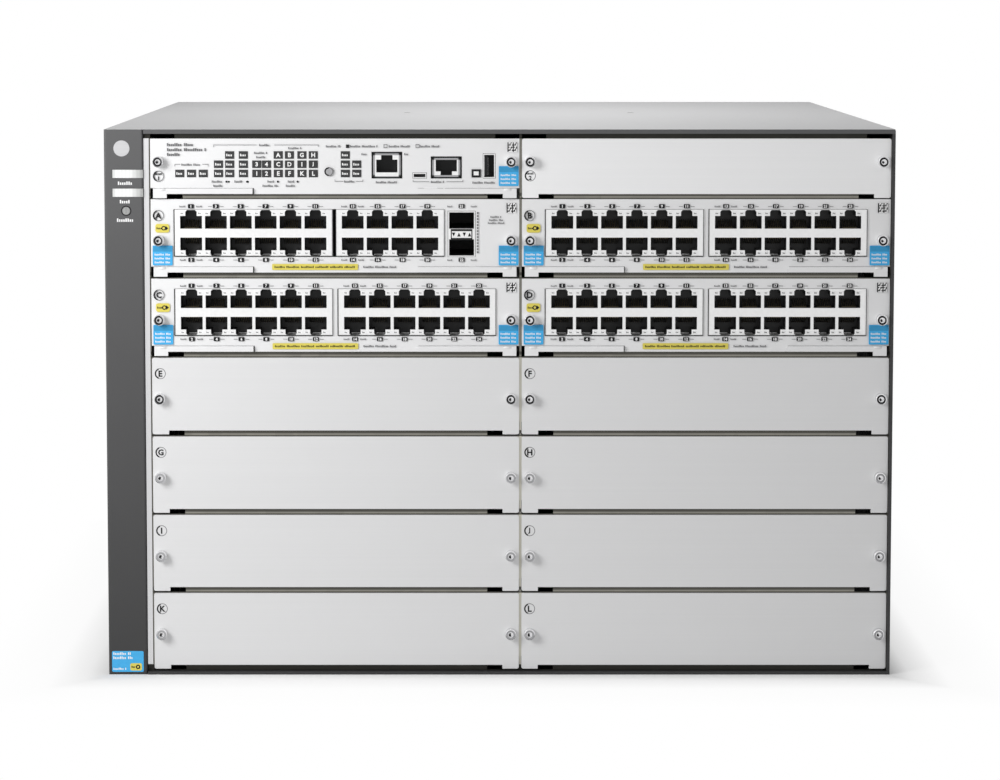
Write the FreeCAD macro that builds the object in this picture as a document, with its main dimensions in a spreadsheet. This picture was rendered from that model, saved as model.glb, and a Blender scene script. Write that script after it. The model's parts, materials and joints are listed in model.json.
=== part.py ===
"""Modular chassis switch, seven rack units tall.

A sheet-metal chassis holds a front slot frame of two columns and seven rows. The top row takes
management modules, the six rows below take interface modules or blank covers. A backplane stands
behind the slots, and a fan tray and two power supplies are fitted from the rear.

Frame: +Z up, front towards -Y, origin at the middle of the underside. Millimetres.
"""
import FreeCAD, Part
import math
import os
import re

import Sketcher
from FreeCAD import Vector

# Driving dimensions: alias, value, meaning.
SIZES = [
    ("chassis_wide", 444.5, "outside width over the side walls"),
    ("chassis_deep", 450.9, "depth from bezel front to rear wall"),
    ("chassis_tall", 310.4, "height, seven rack units less clearance"),
    ("sheet", 1.75, "sheet thickness of the chassis tray"),
    ("cover_sheet", 1.5, "sheet thickness of the top cover"),
    ("face_setback", 2.0, "slot faces behind the bezel front"),
    ("plate", 1.5, "faceplate thickness"),
    ("frame_plate", 1.5, "slot frame thickness"),
    ("fit", 0.2, "gap between pieces that slide or drop together"),
    ("running", 0.05, "radial clearance of a pin in its hole"),
    ("column_margin", 25.85, "left chassis side to the left column"),
    ("column_pitch", 209.0, "left column to right column"),
    ("slot_wide", 207.5, "faceplate width"),
    ("slot_tall", 41.4, "faceplate height of an interface slot"),
    ("slot_pitch", 44.9, "row to row"),
    ("slot_foot", 5.2, "underside to the lowest faceplate edge"),
    ("manager_foot", 274.0, "underside to the management row"),
    ("manager_tall", 31.2, "faceplate height of a management slot"),
    ("post_inset", 8.6, "slot edge to the clear frame window"),
    ("window_lap", 0.8, "faceplate top edge over the frame window"),
    ("lever_band", 4.8, "height of the wide foot of a frame window"),
    ("foot_drop", 3.0, "frame window below the slot foot at its ends"),
    ("foot_wide", 18.0, "width of those dropped ends"),
    ("head_notch_wide", 13.6, "notch over each top corner of the management row"),
    ("trim_tall", 2.4, "front trim under the cover edge"),
    ("trim_deep", 9.0, "depth of the front trim channel"),
    ("inner_wall_sheet", 1.2, "inner wall and divider thickness"),
    ("bezel_wide", 21.85, "left bezel width"),
    ("bezel_deep", 12.0, "left bezel depth"),
    ("bezel_skin", 2.0, "left bezel wall thickness"),
    ("bezel_round", 1.0, "bezel edge radius"),
    ("strip_gap", 0.35, "bezel to bright strip"),
    ("strip_wide", 2.9, "bright strip width"),
    ("strip_foot", 5.8, "underside to the strip's lower end"),
    ("strip_top", 305.4, "underside to the strip's upper end"),
    ("strip_proud", 0.6, "strip in front of the slot faces"),
    ("disc_radius", 3.7, "plain disc recess on the bezel"),
    ("disc_rise", 299.8, "disc height"),
    ("disc_inset", 9.95, "left chassis side to the disc"),
    ("disc_sink", 0.5, "depth of the disc recess"),
    ("pipe_inset", 4.7, "left chassis side to the light pipes"),
    ("pipe_tall", 4.8, "light pipe height"),
    ("pipe_proud", 0.4, "light pipe in front of the bezel"),
    ("power_rise", 283.1, "power light pipe foot"),
    ("fault_rise", 272.5, "fault light pipe foot"),
    ("locator_radius", 2.2, "locator light radius"),
    ("locator_rise", 264.7, "locator light height"),
    ("locator_inset", 12.35, "left chassis side to the locator light"),
    ("light_board_tall", 60.0, "status light board height"),
    ("light_board_rise", 240.0, "status light board foot"),
    ("screw_inset", 4.6, "slot edge to the captive screws"),
    ("screw_rise", 18.3, "slot foot to the captive screws"),
    ("screw_radius", 1.5, "captive screw shank radius"),
    ("screw_head_radius", 3.1, "captive screw head radius"),
    ("screw_head_long", 5.0, "captive screw head length"),
    ("screw_reach", 6.5, "captive screw shank behind the faceplate front"),
    ("screw_socket", 1.3, "radius of the hexagon socket in a screw head"),
    ("socket_deep", 1.6, "depth of that socket"),
    ("lever_long", 57.5, "slot edge to the free end of a lever"),
    ("lever_start", 1.6, "slot edge to the pivot end of a lever"),
    ("lever_line", 3.4, "slot foot to the faceplate edge over the levers"),
    ("lever_sheet", 1.1, "lever sheet thickness"),
    ("lever_tab_wide", 9.3, "slot edge to the end of a corner tab"),
    ("lever_tab_drop", 2.2, "corner tab below the slot foot"),
    ("lever_lip_front", 2.0, "lever lip in front of the slot face"),
    ("lever_top_gap", 0.15, "ear to lever"),
    ("lever_foot", 0.2, "slot foot to the lower lip edge"),
    ("pivot_inset", 6.5, "slot edge to the lever pivot"),
    ("pivot_deep", 1.8, "slot face to the lever pivot"),
    ("pivot_radius", 1.5, "lever rivet radius"),
    ("pivot_head_radius", 2.4, "lever rivet head radius"),
    ("pivot_head_tall", 0.9, "lever rivet head thickness"),
    ("lever_boss", 4.4, "radius of the lever around its pivot"),
    ("ear_long", 20.0, "slot edge to the end of a lever ear"),
    ("ear_deep", 9.0, "lever ear behind the slot face"),
    ("ear_sheet", 1.2, "lever ear thickness"),
    ("board_rise", 7.4, "slot foot to the underside of a board"),
    ("board_sheet", 1.6, "circuit board thickness"),
    ("board_inset", 9.2, "slot edge to the board edge"),
    ("board_reach", 234.0, "slot face to the rear edge of a board"),
    ("guide_wide", 12.2, "card guide width"),
    ("guide_foot", 4.4, "slot foot to the card guide"),
    ("guide_tall", 7.6, "card guide height"),
    ("guide_start", 14.0, "slot face to the front of a card guide"),
    ("guide_reach", 236.0, "slot face to the rear of a card guide"),
    ("jack_wide", 88.6, "width of a block of twelve jacks"),
    ("jack_tall", 26.6, "height of a block of two jack rows"),
    ("jack_deep", 17.0, "slot face to the rear of a jack block"),
    ("jack_proud", 0.3, "jack block in front of the faceplate"),
    ("port_pitch", 14.0, "jack to jack"),
    ("port_wide", 12.3, "jack opening width"),
    ("port_tall", 7.2, "jack opening height"),
    ("port_deep", 13.0, "jack opening depth"),
    ("shield_skin", 0.2, "sheet of the shield round a row of jack pairs"),
    ("port_middle", 2.5, "block middle to each jack row"),
    ("tab_wide", 6.4, "width of the latch tab slot of a jack"),
    ("tab_tall", 2.3, "height of the latch tab slot"),
    ("tab_tip_wide", 4.4, "width of the tip of that slot"),
    ("tab_tip_tall", 1.1, "height of that tip"),
    ("bank_left", 13.4, "slot edge to the first jack block"),
    ("bank_pitch", 92.1, "first to second jack block"),
    ("short_bank_pitch", 91.0, "first block to the short block of slot A"),
    ("cage_left", 167.4, "slot edge to the transceiver cage"),
    ("cage_wide", 15.2, "transceiver cage width"),
    ("cage_tall", 25.6, "transceiver cage height"),
    ("cage_deep", 48.0, "slot face to the rear of the cage"),
    ("cage_skin", 0.6, "transceiver cage wall"),
    ("cage_mouth", 9.2, "height of a transceiver opening"),
    ("cage_mouth_deep", 44.0, "depth of a transceiver opening"),
]
SIZES += [
    ("window_fit", 0.25, "gap between a faceplate window and what stands in it"),
    ("connector_wide", 90.0, "board connector width"),
    ("connector_tall", 12.0, "board connector height"),
    ("connector_deep", 8.0, "board connector depth"),
    ("connector_inset", 20.0, "slot edge to the board connector"),
    ("heat_sink_wide", 42.0, "heat sink width and depth"),
    ("heat_sink_tall", 12.0, "heat sink height"),
    ("heat_sink_back", 120.0, "slot face to the heat sinks"),
    ("heat_sink_inset", 30.0, "board edge to a heat sink"),
    ("fin_gap", 3.0, "gap between heat sink fins"),
    ("fin_pitch", 6.0, "heat sink fin pitch"),
    ("backplane_back", 244.0, "slot face to the backplane"),
    ("backplane_sheet", 3.2, "backplane thickness"),
    ("backplane_top", 302.0, "underside to the backplane's upper edge"),
    ("manager_port_wide", 11.9, "width of the management and console openings"),
    ("network_jack_left", 124.6, "slot edge to the management jack"),
    ("network_jack_wide", 16.8, "management jack width"),
    ("network_jack_tall", 14.6, "management jack height"),
    ("network_port_rise", 3.2, "board to the management opening"),
    ("console_port_drop", 1.0, "console jack top to its opening"),
    ("console_jack_left", 157.9, "slot edge to the console jack"),
    ("console_jack_wide", 17.0, "console jack width"),
    ("console_jack_tall", 12.0, "console jack height"),
    ("usb_left", 187.2, "slot edge to the upright USB socket"),
    ("usb_wide", 6.6, "USB socket width"),
    ("usb_tall", 13.6, "USB socket height"),
    ("usb_skin", 0.5, "USB socket wall"),
    ("usb_deep", 18.0, "USB socket depth"),
    ("usb_mouth_deep", 14.0, "USB opening depth"),
    ("small_usb_left", 147.6, "slot edge to the small console socket"),
    ("small_usb_wide", 7.6, "small console socket width"),
    ("small_usb_tall", 2.9, "small console socket height"),
    ("mode_inset", 100.4, "slot edge to the mode button"),
    ("mode_rise", 12.7, "slot foot to the mode button"),
    ("mode_radius", 2.0, "mode button radius"),
    ("mode_proud", 1.2, "mode button in front of the faceplate"),
    ("mode_flange", 2.9, "radius of the mode button's inner flange"),
    ("mode_travel", 0.8, "mode button travel"),
    ("pinhole_radius", 0.6, "reset pinhole radius"),
    ("pinhole_rise", 6.9, "slot foot to the pinholes"),
    ("reset_hole", 44.1, "slot edge to the reset pinhole"),
    ("clear_hole", 54.8, "slot edge to the clear pinhole"),
    ("key_proud", 0.3, "status windows in front of the faceplate"),
    ("key_wide", 5.1, "status window width"),
    ("key_auto", 14.0, "slot edge to the first lone status window"),
    ("key_held", 20.6, "slot edge to the second lone status window"),
    ("key_down", 27.2, "slot edge to the third lone status window"),
    ("key_test", 35.8, "slot edge to the test windows"),
    ("key_root", 42.1, "slot edge to the chassis windows"),
    ("key_power", 49.8, "slot edge to the power windows"),
    ("key_odd", 57.3, "slot edge to the odd supply windows"),
    ("key_even", 62.8, "slot edge to the even supply windows"),
    ("key_first", 69.4, "slot edge to the first column of slot windows"),
    ("key_second", 75.7, "slot edge to the second column of slot windows"),
    ("key_third", 82.7, "slot edge to the third column of slot windows"),
    ("key_fourth", 89.1, "slot edge to the fourth column of slot windows"),
    ("key_mode", 107.1, "slot edge to the mode windows"),
    ("key_speed", 113.5, "slot edge to the last windows"),
    ("key_tall", 4.25, "status window height"),
    ("key_foot", 9.5, "slot foot to the lowest row of status windows"),
    ("key_pitch", 5.2, "row pitch of the status windows"),
    ("tray_wide", 290.0, "fan tray opening width"),
    ("tray_tall", 150.0, "fan tray opening height"),
    ("tray_foot", 132.0, "underside to the fan tray opening"),
    ("tray_deep", 60.0, "fan tray depth inside the chassis"),
    ("tray_sheet", 1.5, "fan tray sheet"),
    ("panel_lap", 8.0, "rear panels over the edges of their openings"),
    ("fan_frame", 120.0, "fan housing side"),
    ("fan_deep", 38.0, "fan housing depth"),
    ("fan_bore", 57.0, "fan bore radius"),
    ("fan_spacing", 138.0, "fan to fan"),
    ("blade_reach", 53.5, "fan rotor radius"),
    ("hub_radius", 20.0, "fan hub radius"),
    ("rotor_deep", 24.0, "fan rotor depth"),
    ("blade_half", 0.8, "half the thickness of a blade"),
    ("root_pitch", 42.0, "blade angle at the hub, in degrees"),
    ("tip_pitch", 24.0, "blade angle at the tip, in degrees"),
    ("guard_ring", 2.0, "width of a guard ring"),
    ("guard_pitch", 12.0, "guard ring to guard ring"),
    ("supply_wide", 190.0, "power supply width"),
    ("supply_tall", 84.0, "power supply height"),
    ("supply_deep", 178.0, "power supply depth inside the chassis"),
    ("supply_foot", 18.0, "underside to the power supplies"),
    ("supply_middle", 104.0, "chassis middle to a power supply's middle"),
    ("supply_vent_inset", 10.0, "supply edge and foot to its first exhaust slots"),
    ("supply_vent_rise", 44.0, "supply foot to the upper exhaust slots"),
    ("inlet_wide", 30.0, "power inlet width"),
    ("inlet_tall", 22.0, "power inlet height"),
    ("inlet_deep", 20.0, "power inlet depth"),
    ("inlet_skin", 2.4, "power inlet wall"),
    ("inlet_side", 58.0, "supply middle to its inlet"),
    ("inlet_rise", 20.0, "supply foot to its inlet"),
    ("pin_wide", 2.0, "inlet pin width"),
    ("pin_tall", 4.0, "inlet pin height"),
    ("handle_span", 60.0, "supply handle span"),
    ("handle_reach", 26.0, "supply handle depth"),
    ("handle_bar", 8.0, "supply handle thickness"),
    ("handle_tall", 14.0, "supply handle height"),
    ("rear_screw_radius", 1.5, "rear screw shank radius"),
    ("rear_head_radius", 3.4, "rear screw head radius"),
    ("rear_head_long", 2.2, "rear screw head length"),
    ("rear_screw_long", 7.0, "rear screw shank length"),
    ("cover_flange", 12.0, "cover flange over the rear wall"),
    ("cover_screw_pitch", 130.0, "cover screw to cover screw"),
    ("vent_wide", 3.0, "side vent width"),
    ("vent_tall", 24.0, "side vent height"),
    ("vent_pitch", 8.0, "side vent to side vent"),
    ("vent_row_pitch", 44.9, "side vent row to row"),
    ("vent_foot", 14.0, "underside to the first vent row"),
    ("vent_start", 60.0, "front to the first vents"),
    ("wall_vent_wide", 12.0, "opening in an inner wall"),
    ("wall_vent_pitch", 32.0, "inner wall opening to opening"),
    ("back_vent_wide", 60.0, "backplane opening width"),
    ("back_vent_inset", 20.0, "slot edge to a backplane opening"),
    ("back_vent_rise", 20.0, "slot foot to a backplane opening"),
    ("back_vent_tall", 16.0, "backplane opening height"),
    ("rack_hole_radius", 2.0, "rack bracket hole radius"),
    ("rack_hole_back", 24.0, "front to the first bracket holes"),
    ("rack_hole_deep", 25.4, "bracket hole to hole, front to back"),
    ("rack_hole_foot", 44.0, "underside to the lower bracket holes"),
    ("rack_hole_tall", 222.25, "bracket hole to hole, upwards"),
    ("ground_hole_radius", 2.1, "ground lug hole radius"),
    ("ground_hole_pitch", 15.9, "ground lug hole to hole"),
    ("ground_hole_side", 185.0, "chassis middle to the ground lug holes"),
    ("ground_hole_rise", 120.0, "underside to the ground lug holes"),
]

# Places worked out from the driving dimensions.
PLACES = {
    "front": "-chassis_deep / 2",
    "rear": "chassis_deep / 2",
    "face": "front + face_setback",
    "wall_left": "-chassis_wide / 2",
    "wall_right": "chassis_wide / 2",
    "left_column": "wall_left + column_margin",
    "right_column": "left_column + column_pitch",
    "frame_front": "face + plate",
    "frame_back": "frame_front + frame_plate",
    "frame_left": "wall_left + bezel_wide + fit",
    "inner_wall_right": "left_column - fit",
    "divider_left": "right_column - (column_pitch - slot_wide) / 2 - inner_wall_sheet / 2",
    "trim_foot": "chassis_tall - trim_tall",
    "cover_foot": "chassis_tall - cover_sheet",
    "backplane_front": "face + backplane_back",
    "jack_rise": "board_rise + board_sheet",
    "light_board_front": "front + bezel_deep - board_sheet - bezel_skin / 2",
    "tray_top": "tray_foot + tray_tall",
    "fan_rise": "tray_foot + tray_tall / 2",
    "fan_front": "rear - fan_deep - fit",
    "panel_rear": "rear + tray_sheet",
}
NAMES = {row[0] for row in SIZES}

doc = FreeCAD.newDocument("modular_chassis_switch")
dims = doc.addObject("Spreadsheet::Sheet", "Dims")
for line, (alias, value, meaning) in enumerate(SIZES, start=1):
    dims.set(f"A{line}", meaning)
    dims.set(f"B{line}", str(value))
    dims.setAlias(f"B{line}", alias)
doc.recompute()


def bind(text):
    """Turn a formula of size and place names into an expression on the spreadsheet."""
    def swap(match):
        word = match.group(0)
        if word in PLACES:
            return "(" + bind(PLACES[word]) + ")"
        return "Dims." + word if word in NAMES else word
    return re.sub(r"[a-z][a-z_]*", swap, str(text))


def worth(text):
    """Number that a formula gives with the sizes as they stand."""
    return float(dims.evalExpression(bind(text)))


# Outlines for sketches: each is a list of loops, with formulas as coordinates.
def polygon(*points):
    return ("polygon", points)


def box(low_a, high_a, low_b, high_b):
    return polygon((low_a, low_b), (high_a, low_b), (high_a, high_b), (low_a, high_b))


def circle(a, b, radius):
    return ("circle", (a, b, radius))


class Piece:
    """A PartDesign body that is padded, cut and patterned along the axes of the frame."""

    NORMALS = {"Z": ("XY_Plane", 1), "Y": ("XZ_Plane", -1), "X": ("YZ_Plane", 1)}

    def __init__(self, label):
        self.body = doc.addObject("PartDesign::Body", label)
        self.body.Label = label

    def origin(self, role):
        return next(item for item in self.body.Origin.OriginFeatures if item.Role == role)

    def sketch(self, axis, offset, loops):
        role, sign = self.NORMALS[axis]
        sketch = self.body.newObject("Sketcher::SketchObject", "outline")
        sketch.AttachmentSupport = [(self.origin(role), "")]
        sketch.MapMode = "FlatFace"
        sketch.setExpression(".AttachmentOffset.Base.z", bind(f"{sign} * ({offset})"))
        bound = []
        for kind, data in loops:
            if kind == "circle":
                bound += self.draw_circle(sketch, *data)
            else:
                bound += self.draw_polygon(sketch, data)
        for index, formula in bound:
            sketch.setExpression(f"Constraints[{index}]", bind(formula))
        return sketch

    @staticmethod
    def draw_circle(sketch, a, b, radius):
        centre = Vector(worth(a), worth(b), 0)
        item = sketch.addGeometry(Part.Circle(centre, Vector(0, 0, 1), worth(radius)), False)
        start = sketch.ConstraintCount
        sketch.addConstraint([
            Sketcher.Constraint("DistanceX", -1, 1, item, 3, centre.x),
            Sketcher.Constraint("DistanceY", -1, 1, item, 3, centre.y),
            Sketcher.Constraint("Radius", item, worth(radius)),
        ])
        return [(start, a), (start + 1, b), (start + 2, radius)]

    @staticmethod
    def draw_polygon(sketch, points):
        corners = [Vector(worth(a), worth(b), 0) for a, b in points]
        count = len(corners)
        first = sketch.GeometryCount
        sketch.addGeometry([Part.LineSegment(corners[i], corners[(i + 1) % count])
                            for i in range(count)], False)
        sketch.addConstraint([Sketcher.Constraint("Coincident", first + i, 2,
                                                  first + (i + 1) % count, 1)
                              for i in range(count)])
        start = sketch.ConstraintCount
        places = []
        for i, corner in enumerate(corners):
            places.append(Sketcher.Constraint("DistanceX", -1, 1, first + i, 1, corner.x))
            places.append(Sketcher.Constraint("DistanceY", -1, 1, first + i, 1, corner.y))
        sketch.addConstraint(places)
        flat = [formula for point in points for formula in point]
        return [(start + i, formula) for i, formula in enumerate(flat)]

    def pad(self, axis, start, end, *loops):
        """Add the outline from start to end along an axis of the frame."""
        feature = self.body.newObject("PartDesign::Pad", "pad")
        feature.Profile = self.sketch(axis, start, loops)
        feature.setExpression("Length", bind(f"({end}) - ({start})"))
        feature.Reversed = axis == "Y"
        return self.finish(feature)

    def cut(self, axis, start, end, *loops):
        """Remove the outline from start to end along an axis of the frame."""
        before = self.body.Shape.Volume
        feature = self.body.newObject("PartDesign::Pocket", "pocket")
        feature.Profile = self.sketch(axis, start, loops)
        feature.setExpression("Length", bind(f"({end}) - ({start})"))
        feature.Reversed = axis != "Y"
        self.finish(feature)
        if not self.body.Shape.Volume < before:
            raise RuntimeError(f"{self.body.Label}: a pocket cuts nothing")
        return feature

    def repeat(self, features, axis, pitch, count):
        """Repeat features along an axis: count copies, one pitch apart."""
        pattern = self.body.newObject("PartDesign::LinearPattern", "pattern")
        pattern.Originals = features if isinstance(features, list) else [features]
        pattern.Direction = (self.origin(f"{axis}_Axis"), [""])
        pattern.setExpression("Length", bind(f"({pitch}) * {count - 1}"))
        pattern.Occurrences = count
        return self.finish(pattern)

    def ease(self, kind, size, choose):
        """Round (Fillet) or bevel (Chamfer) the edges that the test picks."""
        base = (self.body.Tip, [f"Edge{i}" for i, edge in enumerate(self.body.Shape.Edges, start=1)
                                if choose(edge)])
        feature = self.body.newObject(f"PartDesign::{kind}", kind.lower())
        feature.Base = base
        feature.setExpression("Radius" if kind == "Fillet" else "Size", bind(size))
        return self.finish(feature)

    def finish(self, feature):
        self.body.Tip = feature
        doc.recompute()
        if set(feature.State) & {"Invalid", "Error"}:
            raise RuntimeError(f"{self.body.Label}: {feature.Name} failed")
        return feature


nodes = []


def keep(item, label=None):
    """Note a finished sub-part, which becomes a file of its own."""
    item = item.body if isinstance(item, Piece) else item
    if label:
        item.Label = label
    nodes.append(item)
    return item


def copy(source, a="0", b="0", c="0"):
    """A linked copy of a template, moved to the place that the formulas give."""
    link = doc.addObject("App::Link", "copy")
    link.LinkedObject = source.body
    for name, formula in zip("xyz", (a, b, c)):
        link.setExpression(f".Placement.Base.{name}", bind(formula))
    return link


def group(label, links):
    """Several separate solids in one node."""
    item = doc.addObject("Part::Compound", label)
    item.Links = links
    item.Label = label
    doc.recompute()
    return keep(item)


def row_foot(row):
    """Foot of an interface row, counted from the bottom."""
    return f"slot_foot + {row} * slot_pitch"


COLUMNS = {"left": "left_column", "right": "right_column"}
ROWS = 6
BLANK_ROWS = 4
BANK_COLUMNS = 6
SHORT_BANK_COLUMNS = 4
SIDE_VENTS = 16
WALL_VENTS = 4
SUPPLY_VENTS = 16
SINK_GAPS = 6
GUARD_RINGS = 4
BLADES = 7
FEET = [row_foot(row) for row in range(ROWS)] + ["manager_foot"]


def ends(edge, axis):
    """Coordinates of an edge's two ends along an axis, or none for a closed edge."""
    return [getattr(vertex.Point, axis) for vertex in edge.Vertexes] if \
        len(edge.Vertexes) == 2 else []


def along(edge, axis):
    """True for a straight edge that runs along the axis."""
    return all(ends(edge, other) and abs(ends(edge, other)[0] - ends(edge, other)[1]) < 1e-6
               for other in "xyz" if other != axis)


def at(edge, axis, place):
    """True for an edge whose ends both lie at the place on the axis."""
    return bool(ends(edge, axis)) and all(abs(end - worth(place)) < 1e-6
                                          for end in ends(edge, axis))


# Fasteners, drawn once at the origin with the head towards -Y.
def revolved(label, *points):
    """A turned piece about the Y axis."""
    piece = Piece(label)
    profile = piece.sketch("Z", "0", [polygon(*points)])
    feature = piece.body.newObject("PartDesign::Revolution", "turn")
    feature.Profile = profile
    feature.ReferenceAxis = (profile, ["V_Axis"])
    feature.Angle = 360
    piece.finish(feature)
    return piece


def hexagon(radius):
    corners = [(math.cos(math.radians(60 * i)), math.sin(math.radians(60 * i))) for i in range(6)]
    return polygon(*[(f"{radius} * {a:.6f}", f"{radius} * {b:.6f}") for a, b in corners])


def captive_screw():
    """Slot screw: a tall head with a bevelled rim, standing on the faceplate."""
    rim = "screw_head_radius - screw_head_long / 10"
    piece = revolved("captive_screw", ("0", "-screw_head_long"), (rim, "-screw_head_long"),
                     ("screw_head_radius", "-screw_head_long * 9 / 10"),
                     ("screw_head_radius", "0"), ("screw_radius", "0"),
                     ("screw_radius", "screw_reach"), ("0", "screw_reach"))
    piece.cut("Y", "-screw_head_long", "socket_deep - screw_head_long", hexagon("screw_socket"))
    return piece


def rear_screw():
    """Panel screw of the rear, with its head towards +Y."""
    piece = revolved("rear_screw", ("0", "rear_head_long"),
                     ("rear_head_radius * 3 / 4", "rear_head_long"),
                     ("rear_head_radius", "rear_head_long / 3"), ("rear_head_radius", "0"),
                     ("rear_screw_radius", "0"), ("rear_screw_radius", "-rear_screw_long"),
                     ("0", "-rear_screw_long"))
    piece.cut("Y", "rear_head_long - socket_deep", "rear_head_long", hexagon("screw_socket"))
    return piece


CAPTIVE = captive_screw()
REAR = rear_screw()


def screw_places(left, foot):
    """Middles of the two captive screws of a slot."""
    rise = f"{foot} + screw_rise"
    return ((f"{left} + screw_inset", rise), (f"{left} + slot_wide - screw_inset", rise))


def slot_screws(left, foot):
    return [copy(CAPTIVE, a, "face", c) for a, c in screw_places(left, foot)]


# Chassis.
SUPPLIES = {"power_supply_1": "-supply_middle", "power_supply_2": "supply_middle"}


def supply_screw_places(middle):
    side = "supply_wide / 2 + panel_lap / 2"
    return [(f"{middle} {sign} ({side})", "supply_foot + supply_tall / 2") for sign in "-+"]


def tray_screw_places():
    return [(f"{sign} (tray_wide / 2 + panel_lap / 2)", f"fan_rise {lift} tray_tall / 3")
            for sign in ("-", "") for lift in "-+"]


def cover_screw_places():
    return [(f"{step} * cover_screw_pitch", "chassis_tall - cover_flange / 2")
            for step in (-1, 0, 1)]


def chassis_shell():
    """Folded tray: floor, two side walls and rear wall, with vents, bays and fixing holes."""
    piece = Piece("chassis_shell")
    piece.pad("Z", "0", "cover_foot", box("wall_left", "wall_right", "front", "rear"))
    piece.cut("Z", "sheet", "chassis_tall",
              box("wall_left + sheet", "wall_right - sheet", "front - 1", "rear - sheet"))
    piece.cut("Z", "-1", "chassis_tall",
              box("wall_left - 1", "wall_left + bezel_wide + strip_gap", "front - 1",
                  "front + bezel_deep"))
    piece.cut("Z", "trim_foot", "chassis_tall",
              box("wall_right - sheet - 1", "wall_right + 1", "front - 1", "front + trim_deep"))
    vents = [box("vent_start + front", "vent_start + front + vent_wide",
                 f"vent_foot + {row} * vent_row_pitch",
                 f"vent_foot + vent_tall + {row} * vent_row_pitch") for row in range(ROWS)]
    slots = piece.cut("X", "wall_left - 1", "wall_right + 1", *vents)
    piece.repeat(slots, "Y", "vent_pitch", SIDE_VENTS)
    piece.cut("Y", "rear - sheet - 1", "rear + 1",
              box("-tray_wide / 2", "tray_wide / 2", "tray_foot", "tray_top"))
    for middle in SUPPLIES.values():
        piece.cut("Y", "rear - sheet - 1", "rear + 1",
                  box(f"{middle} - supply_wide / 2 - fit", f"{middle} + supply_wide / 2 + fit",
                      "supply_foot - fit", "supply_foot + supply_tall + fit"))
    holes = [circle(a, c, "rear_screw_radius + running") for a, c in
             cover_screw_places() + tray_screw_places() + supply_screw_places("-supply_middle")
             + supply_screw_places("supply_middle")]
    piece.cut("Y", "rear - sheet - 1", "rear + 1", *holes)
    lugs = [circle(f"ground_hole_side {sign} ground_hole_pitch / 2", "ground_hole_rise",
                   "ground_hole_radius") for sign in "-+"]
    piece.cut("Y", "rear - sheet - 1", "rear + 1", *lugs)
    rack = [circle(f"front + rack_hole_back + {i} * rack_hole_deep",
                   f"rack_hole_foot + {j} * rack_hole_tall", "rack_hole_radius")
            for i in range(2) for j in range(2)]
    piece.cut("X", "wall_left - 1", "wall_right + 1", *rack)
    keep(piece)


def front_trim():
    """Channel along the top front edge: a lip and a flange under the cover."""
    piece = Piece("front_trim")
    left = "wall_left + bezel_wide + strip_gap"
    piece.pad("X", left, "wall_right",
              polygon(("front", "trim_foot"), ("front + trim_deep", "trim_foot"),
                      ("front + trim_deep", "cover_foot"), ("front + cover_sheet", "cover_foot"),
                      ("front + cover_sheet", "chassis_tall"), ("front", "chassis_tall")))
    piece.ease("Chamfer", "cover_sheet / 2", lambda edge: along(edge, "y")
               and at(edge, "x", "wall_right") and at(edge, "z", "chassis_tall"))
    keep(piece)


def top_cover():
    """Flat cover with a flange folded down over the rear wall."""
    piece = Piece("top_cover")
    piece.pad("X", "wall_left", "wall_right",
              polygon(("front + cover_sheet", "cover_foot"), ("rear", "cover_foot"),
                      ("rear", "chassis_tall - cover_flange"),
                      ("rear + cover_sheet", "chassis_tall - cover_flange"),
                      ("rear + cover_sheet", "chassis_tall"),
                      ("front + cover_sheet", "chassis_tall")))
    piece.cut("Y", "rear - 1", "rear + cover_sheet + 1",
              *[circle(a, c, "rear_screw_radius + running") for a, c in cover_screw_places()])
    keep(piece)
    group("cover_screws", [copy(REAR, a, "rear + cover_sheet", c)
                           for a, c in cover_screw_places()])


def row_bar(label, low):
    """Bar under a row of slots, whose low ends leave room for the ejector levers."""
    piece = Piece(label)
    piece.pad("Y", "frame_front", "frame_back",
              polygon(("-fit", low), ("slot_wide + fit", low),
                      ("slot_wide + fit", "-foot_drop"), ("slot_wide - foot_wide", "-foot_drop"),
                      ("slot_wide - foot_wide", "-fit / 2"), ("foot_wide", "-fit / 2"),
                      ("foot_wide", "-foot_drop"), ("-fit", "-foot_drop")))
    return piece


def head_bar():
    """Bar over the management row, notched over the corners of the row."""
    piece = Piece("head_bar")
    low, notch = "manager_tall - window_lap", "manager_tall - fit"
    piece.pad("Y", "frame_front", "frame_back",
              polygon(("-fit", low), ("slot_wide + fit", low), ("slot_wide + fit", notch),
                      ("slot_wide - head_notch_wide", notch),
                      ("slot_wide - head_notch_wide", "trim_foot - manager_foot"),
                      ("head_notch_wide", "trim_foot - manager_foot"),
                      ("head_notch_wide", notch), ("-fit", notch)))
    return piece


def screw_plate(label, low, high, middle, tall):
    """Plate beside the clear window of a slot, with the hole of a captive screw."""
    piece = Piece(label)
    piece.pad("Y", "frame_front", "frame_back",
              box(low, high, "lever_band", f"{tall} - window_lap"))
    piece.cut("Y", "frame_front - 1", "frame_back + 1",
              circle(middle, "screw_rise", "screw_radius + running"))
    return piece


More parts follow.
